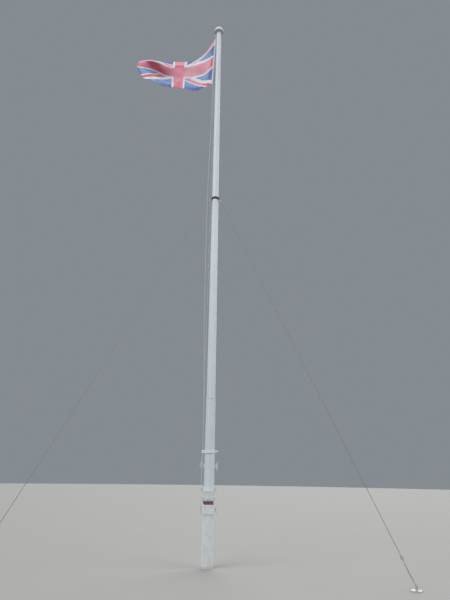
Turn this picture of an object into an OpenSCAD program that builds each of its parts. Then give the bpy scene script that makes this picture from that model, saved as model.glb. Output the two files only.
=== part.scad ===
// Painted flagpole stepped in a heel post, held by three wire stays, with its halyard and flag.
// Z is up and the origin is the middle of the post's foot. X runs to the right and Y to the back.

/* [Heel post] */
// Width of the square post
post_w = 206; // [186:2:216]
// Width of the chamfer down each corner of the post
post_chamfer = 26; // [12:1:40]
// Height where the post starts to widen into its head
post_h = 845; // [700:5:1000]
// Width of the head
head_w = 226; // [218:1:250]
// Height of the sloping neck at the foot of the head
neck_h = 45; // [20:1:60]
// Height of the whole head, neck included
head_h = 194; // [170:1:220]
// Depth of the pocket that takes the heel and the cheeks
pocket_depth = 120; // [60:1:140]

/* [Heel and cheeks] */
// Width of the square heel of the pole
heel_w = 164; // [140:1:170]
// Height of bare heel that shows over the head
heel_bare = 90; // [50:1:140]
// Thickness of each cheek plate
cheek_t = 18; // [10:1:21]
// Width of each cheek plate, front to back
cheek_w = 110; // [80:1:140]
// Diameter of the heel bolt
bolt_d = 28; // [20:1:34]
// Height of the heel bolt over the top of the heel
bolt_rise = 22; // [20:1:45]

/* [Pole] */
// Diameter of the lower pole at its foot
lower_d_foot = 196; // [188:1:204]
// Diameter of the lower pole at the joint
lower_d_top = 180; // [176:1:190]
// Length of the lower pole
lower_len = 1821; // [1500:1:2400]
// Diameter of the upper pole at the joint
upper_d_foot = 170; // [150:1:174]
// Diameter of the upper pole at its top
upper_d_top = 112; // [96:1:124]
// Length of the upper pole
upper_len = 9110; // [8000:10:10000]
// Diameter of the spigot that joins the two
spigot_d = 110; // [80:1:130]
// Length of the spigot
spigot_len = 300; // [150:10:400]
// Width of the raised ring over the joint
ring_w = 10; // [7:1:14]
// Height of the raised ring
ring_h = 22; // [12:1:40]

/* [Bands] */
// Height of the two-part clamp's lower edge over the foot of the lower pole
clamp_up = 131; // [120:1:300]
// Height of the clamp
clamp_h = 73; // [50:1:90]
// Thickness of the clamp's shell
clamp_t = 10; // [6:1:14]
// Reach of each clamp ear from the pole's axis
ear_reach = 143; // [136:1:160]
// Height of the guide band's lower edge over the foot of the lower pole
guide_up = 803; // [780:1:1000]
// Height of the guide band
guide_h = 62; // [40:1:80]
// Thickness of the guide band's shell
guide_t = 12; // [8:1:16]
// Reach of the guide band's horn from the pole's axis
horn_reach = 168; // [140:1:190]
// Height of the stay band's middle over the joint
hound_up = 4380; // [3500:10:5200]
// Height of the stay band
hound_h = 48; // [36:1:70]
// Thickness of the stay band's shell
hound_t = 7; // [5:1:12]

/* [Cleats] */
// Length of each upper cleat, tip to tip
cleat_len = 165; // [130:1:190]
// Gap between the pole and the upper cleats' horns
cleat_gap = 36; // [30:1:44]
// Height of the upper cleats over the foot of the lower pole
cleat_up = 571; // [500:1:680]
// Length of each lower cleat, tip to tip
low_cleat_len = 146; // [120:1:170]
// Height of the lower cleats under the head's rim
low_cleat_down = 78; // [60:1:90]

/* [Stays] */
// Diameter of the stay wire
wire_d = 10; // [6:1:12]
// Distance from the pole to the right ground anchor
reach_right = 3500; // [3000:10:4500]
// Distance from the pole to the left ground anchor
reach_left = 3950; // [3000:10:4500]
// Distance from the pole to the back ground anchor
reach_back = 3700; // [3000:10:4500]
// Direction of the right stay, in degrees from the X axis
angle_right = -28; // [-40:1:-15]
// Direction of the left stay
angle_left = -148; // [-165:1:-135]
// Direction of the back stay
angle_back = 92; // [75:1:105]
// Width of each square anchor plate
anchor_w = 150; // [140:1:220]
// Diameter of the circle of bolt holes in each anchor plate
anchor_pcd = 150; // [130:1:160]
// Length of each rigging screw's barrel
barrel_len = 230; // [160:1:320]

/* [Truck] */
// Diameter of the truck
truck_d = 220; // [190:1:240]
// Height of the truck
truck_h = 140; // [120:1:180]
// Radius of the sheave at the bottom of its groove
sheave_r = 19; // [15:1:22]

/* [Halyard and flag] */
// Diameter of the halyard
rope_d = 9; // [7:0.5:10]
// Length of the flag's hoist edge
hoist_len = 1370; // [1200:5:1450]
// Distance from the top of the pole to the flag's top corner
flag_down = 260; // [200:5:500]
// Width of the canvas sleeve along the hoist
sleeve_w = 30; // [20:1:40]
// Thickness of the canvas sleeve
sleeve_t = 5; // [4:0.5:8]
// Thickness of the flag's cloth
cloth_t = 5; // [3:0.5:8]

/* [Hidden] */
$fn = 64;
fit = 0.3; // clearance of one piece seated in or on another
bore_fit = 0.5; // clearance of a bolt or pin in its hole
over = 1; // how far a cutting shape runs past what it cuts

z_rim = post_h + head_h;
z_pocket = z_rim - pocket_depth;
z_foot = z_rim + heel_bare;
z_bolt = z_foot + bolt_rise;
z_joint = z_foot + lower_len;
z_top = z_joint + upper_len;
z_hound = z_joint + hound_up;
z_cleat = z_foot + cleat_up;
z_low_cleat = z_rim - low_cleat_down;
cheek_x = heel_w / 2 + fit;
cheek_out = cheek_x + cheek_t;

function lower_r(z) = (lower_d_foot + (lower_d_top - lower_d_foot) * (z - z_foot) / lower_len) / 2;
function upper_r(z) = (upper_d_foot + (upper_d_top - upper_d_foot) * (z - z_joint) / upper_len) / 2;

paint = "gainsboro";
iron = "dimgray";
zinc = "darkgray";

// Square with its corners cut off
module chamfered_square(w, c) {
    h = w / 2;
    polygon([[h - c, -h], [h, c - h], [h, h - c], [h - c, h],
        [c - h, h], [-h, h - c], [-h, c - h], [c - h, -h]]);
}

// Hexagon nut or bolt head standing on z = 0
module hex(across, h) cylinder(h = h, d = across / cos(30), $fn = 6);

// Heel post

module base_post() color(paint)
    linear_extrude(post_h) chamfered_square(post_w, post_chamfer);

module post_head() color(paint) difference() {
    union() {
        translate([0, 0, post_h + neck_h])
            linear_extrude(head_h - neck_h) chamfered_square(head_w, post_chamfer);
        hull() {
            translate([0, 0, post_h])
                linear_extrude(over) chamfered_square(post_w, post_chamfer);
            translate([0, 0, post_h + neck_h - over])
                linear_extrude(over) chamfered_square(head_w, post_chamfer);
        }
    }
    pocket_x = cheek_out + fit;
    pocket_y = heel_w / 2 + fit;
    translate([-pocket_x, -pocket_y, z_pocket])
        cube([2 * pocket_x, 2 * pocket_y, pocket_depth + over]);
}

module cheek(side) color(paint) translate([side * (cheek_x + cheek_t / 2), 0, 0]) difference() {
    union() {
        translate([-cheek_t / 2, -cheek_w / 2, z_pocket])
            cube([cheek_t, cheek_w, z_bolt - z_pocket]);
        translate([0, 0, z_bolt]) rotate([0, 90, 0])
            cylinder(h = cheek_t, d = cheek_w, center = true);
    }
    translate([0, 0, z_bolt]) rotate([0, 90, 0])
        cylinder(h = cheek_t + 2 * over, d = bolt_d + 2 * bore_fit, center = true);
}

module pole_heel() color("saddlebrown")
    translate([-heel_w / 2, -heel_w / 2, z_pocket]) cube([heel_w, heel_w, z_foot - z_pocket]);

washer_t = 4;
washer_wide = 1.9; // width of a washer for each unit of its bolt
hex_wide = 1.5; // width of a nut for each unit of its bolt
hex_high = 0.7; // height of a nut for each unit of its bolt
module heel_bolt() color(iron) {
    grip = cheek_out + washer_t;
    translate([-grip, 0, z_bolt]) rotate([0, 90, 0]) cylinder(h = 2 * grip, d = bolt_d);
    for (side = [-1, 1]) translate([side * cheek_out, 0, z_bolt]) rotate([0, side * 90, 0]) {
        cylinder(h = washer_t, d = bolt_d * washer_wide);
        translate([0, 0, washer_t]) hex(bolt_d * hex_wide, bolt_d * hex_high);
    }
}

// Pole

module lower_pole() color(paint) difference() {
    translate([0, 0, z_foot]) cylinder(h = lower_len, d1 = lower_d_foot, d2 = lower_d_top);
    // Flats for the cheeks
    flat_top = z_bolt + cheek_w / 2 + 2 * fit;
    for (side = [-1, 1]) translate([side * (cheek_x + lower_d_foot / 2), 0, z_foot])
        cube([lower_d_foot, lower_d_foot, 2 * (flat_top - z_foot)], center = true);
    translate([0, 0, z_bolt]) rotate([0, 90, 0])
        cylinder(h = 2 * lower_d_foot, d = bolt_d + 2 * bore_fit, center = true);
    translate([0, 0, z_joint - spigot_len - fit])
        cylinder(h = spigot_len + fit + over, d = spigot_d + 2 * fit);
}

module joint_ring() color(paint) translate([0, 0, z_joint]) difference() {
    foot_r = upper_r(z_joint) + fit;
    rotate_extrude() polygon([[0, 0], [foot_r + ring_w, 0], [foot_r + ring_w, ring_h - ring_w / 2],
        [foot_r + ring_w / 2, ring_h], [0, ring_h]]);
    translate([0, 0, -over]) cylinder(h = ring_h + 2 * over,
        r1 = upper_r(z_joint - over) + fit, r2 = upper_r(z_joint + ring_h + over) + fit);
}

module upper_pole() color(paint) {
    translate([0, 0, z_joint]) cylinder(h = upper_len, d1 = upper_d_foot, d2 = upper_d_top);
    translate([0, 0, z_joint - spigot_len]) cylinder(h = spigot_len, d = spigot_d);
    translate([0, 0, z_top]) cylinder(h = tenon_h, d = tenon_d);
}

// Bands

clamp_gap = 3;
clamp_bolt_d = 12;
ear_t = 12;
z_clamp = z_foot + clamp_up;
ear_bolt_x = (lower_r(z_clamp) + clamp_t + ear_reach) / 2;

// Cutting cone that leaves a band its clearance round the lower pole
module lower_bore(z, h) translate([0, 0, z - over])
    cylinder(h = h + 2 * over, r1 = lower_r(z - over) + fit, r2 = lower_r(z + h + over) + fit);

module clamp_half(side) color(paint) difference() {
    shell_r = lower_r(z_clamp) + clamp_t;
    union() {
        translate([0, 0, z_clamp]) cylinder(h = clamp_h, r = shell_r);
        ear_y = side > 0 ? clamp_gap / 2 : -clamp_gap / 2 - ear_t;
        translate([-ear_reach, ear_y, z_clamp]) cube([2 * ear_reach, ear_t, clamp_h]);
    }
    lower_bore(z_clamp, clamp_h);
    cut_y = side > 0 ? clamp_gap / 2 - 2 * ear_reach : -clamp_gap / 2;
    translate([-2 * ear_reach, cut_y, z_clamp - over])
        cube([4 * ear_reach, 2 * ear_reach, clamp_h + 2 * over]);
    for (x = [-ear_bolt_x, ear_bolt_x]) translate([x, 0, z_clamp + clamp_h / 2]) rotate([90, 0, 0])
        cylinder(h = 4 * ear_t, d = clamp_bolt_d + 2 * bore_fit, center = true);
}

module clamp_bolts() color(iron) {
    ear_face = clamp_gap / 2 + ear_t;
    for (x = [-ear_bolt_x, ear_bolt_x]) translate([x, 0, z_clamp + clamp_h / 2]) {
        rotate([90, 0, 0]) cylinder(h = 2 * ear_face, d = clamp_bolt_d, center = true);
        for (turn = [90, -90]) rotate([turn, 0, 0]) translate([0, 0, ear_face])
            hex(clamp_bolt_d * hex_wide, clamp_bolt_d * hex_high);
    }
}

z_guide = z_foot + guide_up;
guide_eye_r = 14;
guide_eye_x = -130;
guide_eye_wall = 9;
horn_r = 15;
horn_tip_r = 5;

module guide_band() color(paint) difference() {
    union() {
        translate([0, 0, z_guide]) cylinder(h = guide_h, r = lower_r(z_guide) + guide_t);
        translate([guide_eye_x, 0, z_guide]) cylinder(h = guide_h, r = guide_eye_r + guide_eye_wall);
        translate([guide_eye_x, -guide_eye_r - guide_eye_wall, z_guide])
            cube([-guide_eye_x - lower_r(z_guide), 2 * (guide_eye_r + guide_eye_wall), guide_h]);
    }
    lower_bore(z_guide, guide_h);
    translate([guide_eye_x, 0, z_guide - over]) cylinder(h = guide_h + 2 * over, r = guide_eye_r);
}

horn_places = [[0, 0.5], [0.5, 0.55], [1, 0.7]]; // way along the horn, and height on the band

module guide_horn() color(paint) difference() {
    root_x = lower_r(z_guide) + guide_t;
    inner_x = root_x - horn_r / 2;
    outer_x = horn_reach - horn_tip_r;
    for (k = [0, 1]) hull() for (p = [horn_places[k], horn_places[k + 1]])
        translate([inner_x + (outer_x - inner_x) * p[0], 0, z_guide + guide_h * p[1]])
            sphere(r = horn_r + (horn_tip_r - horn_r) * p[0], $fn = 20);
    translate([0, 0, z_guide - over]) cylinder(h = guide_h + 2 * over, r = root_x + fit);
}

// Cleats

cleat_base_t = 10;
cleat_base_w = 36;
cleat_base_h = 84;
cleat_leg_w = 18;
cleat_leg_h = 13;
cleat_leg_z = 18.5; // height of each leg's middle from the cleat's middle
cleat_bar_r = 8;
cleat_tip_r = 4.5;
cleat_bulge = 1; // how much thicker the bar is at its middle
knuckle = [0.3, 0.6]; // share of the curl and of the length where a horn starts to taper

// Cleat on a side face at x = face, horns up and down; back is how far its base runs behind
// the face, and curl bends the tips away from the pole
module cleat(face, back, gap, length, curl) {
    bar_x = face + gap + cleat_bar_r;
    tip_z = length / 2 - cleat_tip_r;
    translate([face - back, -cleat_base_w / 2, -cleat_base_h / 2])
        cube([back + cleat_base_t, cleat_base_w, cleat_base_h]);
    for (end = [-1, 1]) {
        translate([face - back, -cleat_leg_w / 2, end * cleat_leg_z - cleat_leg_h / 2])
            cube([back + gap + cleat_bar_r, cleat_leg_w, cleat_leg_h]);
        bend = [bar_x + curl * knuckle[0], 0, end * tip_z * knuckle[1]];
        hull() {
            translate([bar_x, 0, 0]) sphere(r = cleat_bar_r + cleat_bulge, $fn = 16);
            translate(bend) sphere(r = cleat_bar_r, $fn = 16);
        }
        hull() {
            translate(bend) sphere(r = cleat_bar_r, $fn = 16);
            translate([bar_x + curl, 0, end * tip_z]) sphere(r = cleat_tip_r, $fn = 16);
        }
    }
}

module upper_cleat(side) color(paint) difference() {
    translate([0, 0, z_cleat]) mirror([side < 0 ? 1 : 0, 0, 0])
        cleat(lower_r(z_cleat), cleat_base_t, cleat_gap, cleat_len, 0);
    lower_bore(z_cleat - cleat_len, 2 * cleat_len);
}

low_cleat_gap = 14;
low_cleat_curl = 32;
module lower_cleat(side) color(paint) translate([0, 0, z_low_cleat])
    mirror([side < 0 ? 1 : 0, 0, 0])
        cleat(head_w / 2, 0, low_cleat_gap, low_cleat_len, side > 0 ? low_cleat_curl : 0);

// Stay band, shackles, wires, rigging screws and anchors

lug_t = 12;
lug_hole_r = 8;
lug_out = 24;
lug_r = 18;
function hound_r() = upper_r(z_hound) + hound_t;
lug_x = hound_r() + lug_out;
eye_z = 62;
anchor_t = 12;

stays = [[angle_right, reach_right], [angle_left, reach_left], [angle_back, reach_back]];
function stay_lean(i) = atan((stays[i][1] - lug_x) / (z_hound - eye_z));
function stay_len(i) = norm([stays[i][1] - lug_x, z_hound - eye_z]);

module hound_band() color(iron) difference() {
    union() {
        translate([0, 0, z_hound - hound_h / 2]) cylinder(h = hound_h, r = hound_r());
        for (s = stays) rotate([0, 0, s[0]]) {
            translate([0, -lug_t / 2, z_hound - lug_r]) cube([lug_x, lug_t, 2 * lug_r]);
            translate([lug_x, 0, z_hound]) rotate([90, 0, 0])
                cylinder(h = lug_t, r = lug_r, center = true);
        }
    }
    z0 = z_hound - hound_h / 2 - over;
    z1 = z_hound + hound_h / 2 + over;
    translate([0, 0, z0]) cylinder(h = z1 - z0, r1 = upper_r(z0) + fit, r2 = upper_r(z1) + fit);
    for (s = stays) rotate([0, 0, s[0]]) translate([lug_x, 0, z_hound]) rotate([90, 0, 0])
        cylinder(h = 2 * lug_t, r = lug_hole_r, center = true);
}

// Places children along stay i: z = 0 at the anchor's eye, rising to the stay band's lug
module along_stay(i) rotate([0, 0, stays[i][0]]) translate([stays[i][1], 0, eye_z])
    rotate([0, -stay_lean(i), 0]) children();

pin_r = 7.5;
lug_room = 2; // room between a lug and what holds it
fork_gap = lug_t + lug_room;
fork_wall = 8;
fork_w = 26;
fork_len = 34;
rod_r = 8;
rod_len = 110;
barrel_r = 14;
shackle_bar_r = 6;
shackle_len = 44;
eye_r = 17; // radius of the wire's eye, to the middle of the wire
ferrule_len = 42;
ferrule_r = 9;
wire_r = wire_d / 2;

// Fork with its pin at z = 0 and its rod running up
module fork() {
    for (y = [-fork_gap / 2 - fork_wall, fork_gap / 2]) {
        translate([-fork_w / 2, y, 0]) cube([fork_w, fork_wall, fork_len]);
        translate([0, y, 0]) rotate([-90, 0, 0]) cylinder(h = fork_wall, d = fork_w);
    }
    translate([-fork_w / 2, -fork_gap / 2 - fork_wall, fork_len - fork_wall])
        cube([fork_w, fork_gap + 2 * fork_wall, fork_wall]);
    translate([0, 0, fork_len - over]) cylinder(h = rod_len + over, r = rod_r);
    pin_len = fork_gap + 2 * (fork_wall + pin_head);
    rotate([90, 0, 0]) cylinder(h = pin_len, r = pin_r, center = true);
}

pin_head = 4; // how far a pin stands out of its fork or shackle
rod_grip = 60; // how far each rod is screwed into the barrel
fork_span = fork_len + rod_len; // pin to the end of the rod
screw_span = 2 * fork_span + barrel_len - 2 * rod_grip; // pin to pin

module forks(i) color(zinc) along_stay(i) {
    fork();
    translate([0, 0, screw_span]) mirror([0, 0, 1]) fork();
}

module screw(i) color(zinc) along_stay(i)
    translate([0, 0, fork_span - rod_grip]) difference() {
        cylinder(h = barrel_len, r = barrel_r);
        for (z = [-over, barrel_len - rod_grip - fit])
            translate([0, 0, z]) cylinder(h = rod_grip + fit + over, r = rod_r + fit);
        // Window that shows the ends of the rods
        translate([0, 0, barrel_len / 2])
            cube([rod_r, 4 * barrel_r, barrel_len - 2 * rod_grip], center = true);
    }

low_eye_z = screw_span - pin_r - wire_r - fit + eye_r;
function bow_z(i) = stay_len(i) - shackle_len;
function top_eye_z(i) = bow_z(i) + shackle_bar_r + wire_r + fit - eye_r;

module stay(i) color(zinc) along_stay(i) {
    for (z = [low_eye_z, top_eye_z(i)]) translate([0, 0, z]) rotate([90, 0, 0])
        rotate_extrude() translate([eye_r, 0]) circle(r = wire_r, $fn = 32);
    z0 = low_eye_z + eye_r;
    z1 = top_eye_z(i) - eye_r;
    translate([0, 0, z0]) cylinder(h = z1 - z0, r = wire_r);
    translate([0, 0, z0 + wire_r]) cylinder(h = ferrule_len, r = ferrule_r);
    translate([0, 0, z1 - wire_r - ferrule_len]) cylinder(h = ferrule_len, r = ferrule_r);
}

module shackle(i) color(zinc) along_stay(i) {
    leg_y = lug_t / 2 + lug_room + shackle_bar_r;
    translate([0, 0, stay_len(i)]) {
        pin_len = 2 * (leg_y + shackle_bar_r + pin_head);
        rotate([90, 0, 0]) cylinder(h = pin_len, r = pin_r, center = true);
        for (y = [-leg_y, leg_y]) translate([0, y, leg_y - shackle_len])
            cylinder(h = shackle_len - leg_y, r = shackle_bar_r);
    }
    translate([0, 0, bow_z(i) + leg_y]) rotate([0, 90, 0]) rotate([0, 0, -90])
        rotate_extrude(angle = 180) translate([leg_y, 0]) circle(r = shackle_bar_r, $fn = 32);
}

anchor_hole_r = 7;

module anchor(i) color(zinc) rotate([0, 0, stays[i][0]]) translate([stays[i][1], 0, 0]) {
    difference() {
        translate([-anchor_w / 2, -anchor_w / 2, 0]) cube([anchor_w, anchor_w, anchor_t]);
        for (turn = [45:90:315]) rotate([0, 0, turn]) translate([anchor_pcd / 2, 0, -over])
            cylinder(h = anchor_t + 2 * over, r = anchor_hole_r);
    }
    difference() {
        union() {
            translate([-lug_r, -lug_t / 2, anchor_t - over])
                cube([2 * lug_r, lug_t, eye_z - anchor_t + over]);
            translate([0, 0, eye_z]) rotate([90, 0, 0]) cylinder(h = lug_t, r = lug_r, center = true);
        }
        translate([0, 0, eye_z]) rotate([90, 0, 0])
            cylinder(h = 2 * lug_t, r = lug_hole_r, center = true);
    }
}

// Truck

tenon_d = 50;
tenon_h = 45;
truck_rim = 40;
sheave_x = -76;
sheave_w = 12;
sheave_rim_r = sheave_r + 6;
sheave_up = 24; // height of the sheave's pin over the truck's underside
rope_r = rope_d / 2;
rope_y = sheave_r + rope_r + fit; // the two falls hang at -rope_y and rope_y
sheave_pin_r = 4;
slot_gap = 1;
slot_room = 2; // room over the halyard in the slot

module truck() color("silver") translate([0, 0, z_top]) difference() {
    rotate_extrude() intersection() {
        translate([0, -over]) square([truck_d / 2, truck_h + 2 * over]);
        union() {
            square([truck_d / 2, truck_rim]);
            translate([0, truck_rim]) difference() {
                dome_arc(truck_d / 2, truck_h - truck_rim);
                translate([-truck_d, -truck_d]) square([2 * truck_d, truck_d]);
            }
        }
    }
    translate([0, 0, -over]) cylinder(h = tenon_h + fit + over, d = tenon_d + 2 * fit);
    slot_w = sheave_w + 2 * slot_gap;
    slot_r = rope_y + rope_r + slot_room;
    translate([sheave_x - slot_w / 2, -slot_r, -over]) cube([slot_w, 2 * slot_r, sheave_up + over]);
    translate([sheave_x - slot_w / 2, 0, sheave_up]) rotate([0, 90, 0]) cylinder(h = slot_w, r = slot_r);
    translate([-truck_d, 0, sheave_up]) rotate([0, 90, 0])
        cylinder(h = truck_d + sheave_x + slot_w, r = sheave_pin_r + fit);
}

// Dome profile: circle arc through the rim and the crown
module dome_arc(r, h) {
    arc_r = (r * r + h * h) / (2 * h);
    translate([0, h - arc_r]) circle(r = arc_r, $fn = 128);
}

module sheave() color("goldenrod") translate([sheave_x, 0, z_top + sheave_up]) rotate([0, 90, 0])
    difference() {
        cylinder(h = sheave_w, r = sheave_rim_r, center = true);
        rotate_extrude() translate([sheave_r + rope_r + fit, 0]) circle(r = rope_r + fit, $fn = 32);
        cylinder(h = 2 * sheave_w, r = sheave_pin_r + fit, center = true);
    }

module sheave_pin() color(iron) {
    pin_x = sheave_x + sheave_w / 2 + slot_gap;
    translate([-truck_d / 2, 0, z_top + sheave_up]) rotate([0, 90, 0])
        cylinder(h = truck_d / 2 + pin_x, r = sheave_pin_r);
}

// Halyard: one tube, from its turns on the upper left cleat up to the sheave, over it, back down to
// the same cleat and on to the lower one

lean = 0.0216; // how far the flag's fall leans out for each unit down
function fall_x(z) = sheave_x - lean * (z_top + sheave_up - z);
cleat_at = [-(lower_r(z_cleat) + cleat_gap + cleat_bar_r), 0, z_cleat];
low_cleat_at = [-(head_w / 2 + low_cleat_gap + cleat_bar_r), 0, z_low_cleat];
guide_at = [guide_eye_x, 0, z_guide];
clamp_at = [cleat_at[0], 0, z_clamp];
guide_clear = 10; // how far past the guide band's eye the halyard runs straight

// Figure-eight turns, from the rope's end out to the guide band's eye
turns = [
    [18, 17, -34], [25, 0, -36], [20, -18, -31], [8, -26, -23], [-6, -26, -16], [-20, -18, -10],
    [-26, -4, -3], [-24, 8, 5], [-15, 20, 14], [0, 25, 22], [16, 18, 28], [23, 0, 31],
    [16, -19, 28], [4, -25, 22], [-8, -22, 16], [-16, -12, 9], [-15, 0, 0], [-12, 9, -10],
    [-2, 15, -20], [10, 13, -29], [15.5, 0, -33], [9, -14, -27], [2, -15, -16], [0, -14, 8],
    [0, -14, 34], [2, -15, 60]];
rise = [
    [-136, -12, 3000], [-146, -16, 3500], [-162, -20, 4100], [-172, -22, 4900],
    [-176, -rope_y, 5600], [-173, -rope_y, 6500], [-172, -rope_y, 7400]];
// The stretch that the flag slides on is straight
flag_fall = [for (z = [8200:1000:11200]) [fall_x(z), -rope_y, z]];
over_sheave = [for (a = [180:-20:0])
    [sheave_x, rope_y * cos(a), z_top + sheave_up + rope_y * sin(a)]];
back_fall = [
    [-86, rope_y, 11000], [-98, rope_y, 8600], [-108, rope_y, 6500], [-116, 20, 5000],
    [-124, 16, 4000], [-128, 10, 3000]];
// Over the figure-eight and behind the cleat's lower horn
last_turn = [
    [-22, 4, 60], [-34, 2, 20], [-37, 2, 0], [-33, 10, -20], [-17, 23, -36], [2, 24, -47],
    [15, 8, -52], [13, -8, -57], [2, -16, -62], [-2, -15, -80], [-1, -16, -110]];
// Past the front of the clamp's ear
tail = [[-2, -20, 150], [-2, -23, 85], [-2, -23, -15], [-1, -20, -160]];
low_turn = [
    [-2, -14, 70], [-8, -13, 25], [-15, 0, -8], [-10, 12, -32], [2, 15, -50], [15, 0, -57],
    [4, -14, -62], [0, -14, -95]];

// Each point of p as seen from the point middle
function around(middle, p) = [for (q = p) middle + q];

function unit(v) = v / norm(v);
// Point t of the way from b to c on a smooth curve through a, b, c and d
function spline(a, b, c, d, t) = 0.5 * (2 * b + (c - a) * t + (2 * a - 5 * b + 4 * c - d) * t * t
    + (3 * b - a - 3 * c + d) * t * t * t);
function smooth(p, n) = [for (i = [0:len(p) - 2], k = [0:n - 1])
    spline(p[max(i - 1, 0)], p[i], p[i + 1], p[min(i + 2, len(p) - 1)], k / n), p[len(p) - 1]];

rope_sides = 8;
// Tube of radius r along the points p, its rings turned as little as possible
module tube(p, r) {
    last = len(p) - 1;
    t = [for (i = [0:last]) unit(p[min(i + 1, last)] - p[max(i - 1, 0)])];
    first_n = unit(cross(t[0], [1, 0, 0.2]));
    n = [for (i = 0, v = first_n; i <= last; i = i + 1,
        v = i <= last ? unit(v - (v * t[i]) * t[i]) : v) v];
    points = [for (i = [0:last], k = [0:rope_sides - 1]) let (a = 360 * k / rope_sides,
        side = unit(n[i] - (n[i] * t[i]) * t[i]))
        p[i] + r * (cos(a) * side + sin(a) * cross(t[i], side))];
    function at(i, k) = i * rope_sides + k % rope_sides;
    faces = concat(
        [[for (k = [0:rope_sides - 1]) at(0, k)]],
        [for (i = [0:last - 1], k = [0:rope_sides - 1], half_quad = [0, 1])
            half_quad == 0 ? [at(i, k), at(i + 1, k), at(i, k + 1)]
                : [at(i, k + 1), at(i + 1, k), at(i + 1, k + 1)]],
        [[for (k = [rope_sides - 1:-1:0]) at(last, k)]]);
    polyhedron(points = points, faces = faces);
}

module halyard() color("wheat")
    tube(concat(
        around(cleat_at, turns),
        around(guide_at, [[0, -7, -guide_clear], [0, -7, guide_h + guide_clear]]),
        rise, flag_fall, over_sheave, back_fall,
        around(guide_at, [[0, 7, guide_h + guide_clear], [0, 7, -guide_clear]]),
        around(cleat_at, last_turn),
        around(clamp_at, tail),
        around(low_cleat_at, low_turn)), rope_r);

// Flag

hoist_lean = 0.0425; // how far the hoist edge leans out for each unit down
hoist_y = -rope_y - 17;
hoist_x = sheave_x - 4;
function hoist(v) = [hoist_x - hoist_lean * hoist_len * v, hoist_y, z_top - flag_down - hoist_len * v];

// Four rows of the cloth, and their places along the fly from the hoist's top corner, in hoist lengths
cloth_v = [0, 0.4, 0.6, 1];
cloth_rows = [
    [[-0.12, 0.15, -0.04], [-0.26, 0.28, -0.11], [-0.45, 0.39, -0.12], [-0.66, 0.45, -0.09],
        [-0.85, 0.42, -0.13], [-1.03, 0.36, -0.20], [-1.21, 0.33, -0.24], [-1.37, 0.31, -0.28]],
    [[-0.15, 0.09, -0.42], [-0.31, 0.17, -0.42], [-0.47, 0.24, -0.41], [-0.65, 0.28, -0.39],
        [-0.83, 0.23, -0.43], [-1.00, 0.10, -0.47], [-1.18, 0.09, -0.42], [-1.37, 0.12, -0.42]],
    [[-0.16, 0.11, -0.65], [-0.31, 0.20, -0.64], [-0.48, 0.27, -0.61], [-0.66, 0.29, -0.58],
        [-0.84, 0.28, -0.58], [-1.02, 0.25, -0.52], [-1.20, 0.15, -0.53], [-1.38, 0.03, -0.60]],
    [[-0.17, 0.08, -1.01], [-0.32, 0.16, -1.00], [-0.48, 0.20, -0.95], [-0.65, 0.18, -0.93],
        [-0.82, 0.17, -0.92], [-0.98, 0.14, -0.90], [-1.12, 0.05, -0.89], [-1.24, -0.04, -0.93]]];
fly_steps = 5; // steps between two places along the fly
drop_steps = 10;

// Change from row r to the next one for each unit down, in the column p
function row_step(p, r) = (p[r + 1] - p[r]) / (cloth_v[r + 1] - cloth_v[r]);
function row_slope(p, r) = r == 0 ? row_step(p, 0) : r == len(cloth_v) - 1 ? row_step(p, r - 1)
    : let (before = cloth_v[r] - cloth_v[r - 1], after = cloth_v[r + 1] - cloth_v[r])
        (row_step(p, r) * before + row_step(p, r - 1) * after) / (before + after);
// Point at v of the way down the column p, which has one point on each row
function drape(p, v) = let (
    r = v < cloth_v[1] ? 0 : v < cloth_v[2] ? 1 : 2,
    gap = cloth_v[r + 1] - cloth_v[r],
    t = (v - cloth_v[r]) / gap)
    (2 * pow(t, 3) - 3 * t * t + 1) * p[r] + (pow(t, 3) - 2 * t * t + t) * gap * row_slope(p, r)
    + (3 * t * t - 2 * pow(t, 3)) * p[r + 1] + (pow(t, 3) - t * t) * gap * row_slope(p, r + 1);

module flag_cloth() color("firebrick") cloth_sheet();

module cloth_sheet() {
    rows = [for (r = [0:len(cloth_v) - 1])
        smooth(concat([[-hoist_lean * cloth_v[r], 0, -cloth_v[r]]], cloth_rows[r]), fly_steps)];
    nu = len(rows[0]) - 1;
    nv = drop_steps;
    start = hoist(0) - [sleeve_w / 2 + fit, 0, 0];
    function at(i, v) = start + hoist_len * drape([for (row = rows) row[i]], v);
    points = [for (face = [-0.5, 0.5], i = [0:nu], j = [0:nv]) at(i, j / nv) + [0, face * cloth_t, 0]];
    side = (nu + 1) * (nv + 1);
    function id(s, i, j) = s * side + i * (nv + 1) + j;
    rim = concat([for (i = [0:nu]) [i, 0]], [for (j = [1:nv]) [nu, j]],
        [for (i = [nu - 1:-1:0]) [i, nv]], [for (j = [nv - 1:-1:1]) [0, j]]);
    faces = concat(
        [for (i = [0:nu - 1], j = [0:nv - 1], s = [0, 1], tri = [0, 1]) let (
            a = id(s, i, j), b = id(s, i + 1, j), c = id(s, i + 1, j + 1), d = id(s, i, j + 1),
            f = tri == 0 ? [a, b, c] : [a, c, d]) s == 0 ? [f[2], f[1], f[0]] : f],
        [for (k = [0:len(rim) - 1], tri = [0, 1]) let (
            p = rim[k], q = rim[(k + 1) % len(rim)],
            a = id(0, p[0], p[1]), b = id(0, q[0], q[1]), c = id(1, q[0], q[1]), d = id(1, p[0], p[1]))
            tri == 0 ? [a, b, c] : [a, c, d]]);
    polyhedron(points = points, faces = faces);
}

module hoist_sleeve() color("white") translate(hoist(0)) rotate([0, atan(hoist_lean), 0])
    translate([-sleeve_w / 2, -sleeve_t / 2, -hoist_len]) cube([sleeve_w, sleeve_t, hoist_len]);

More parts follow.
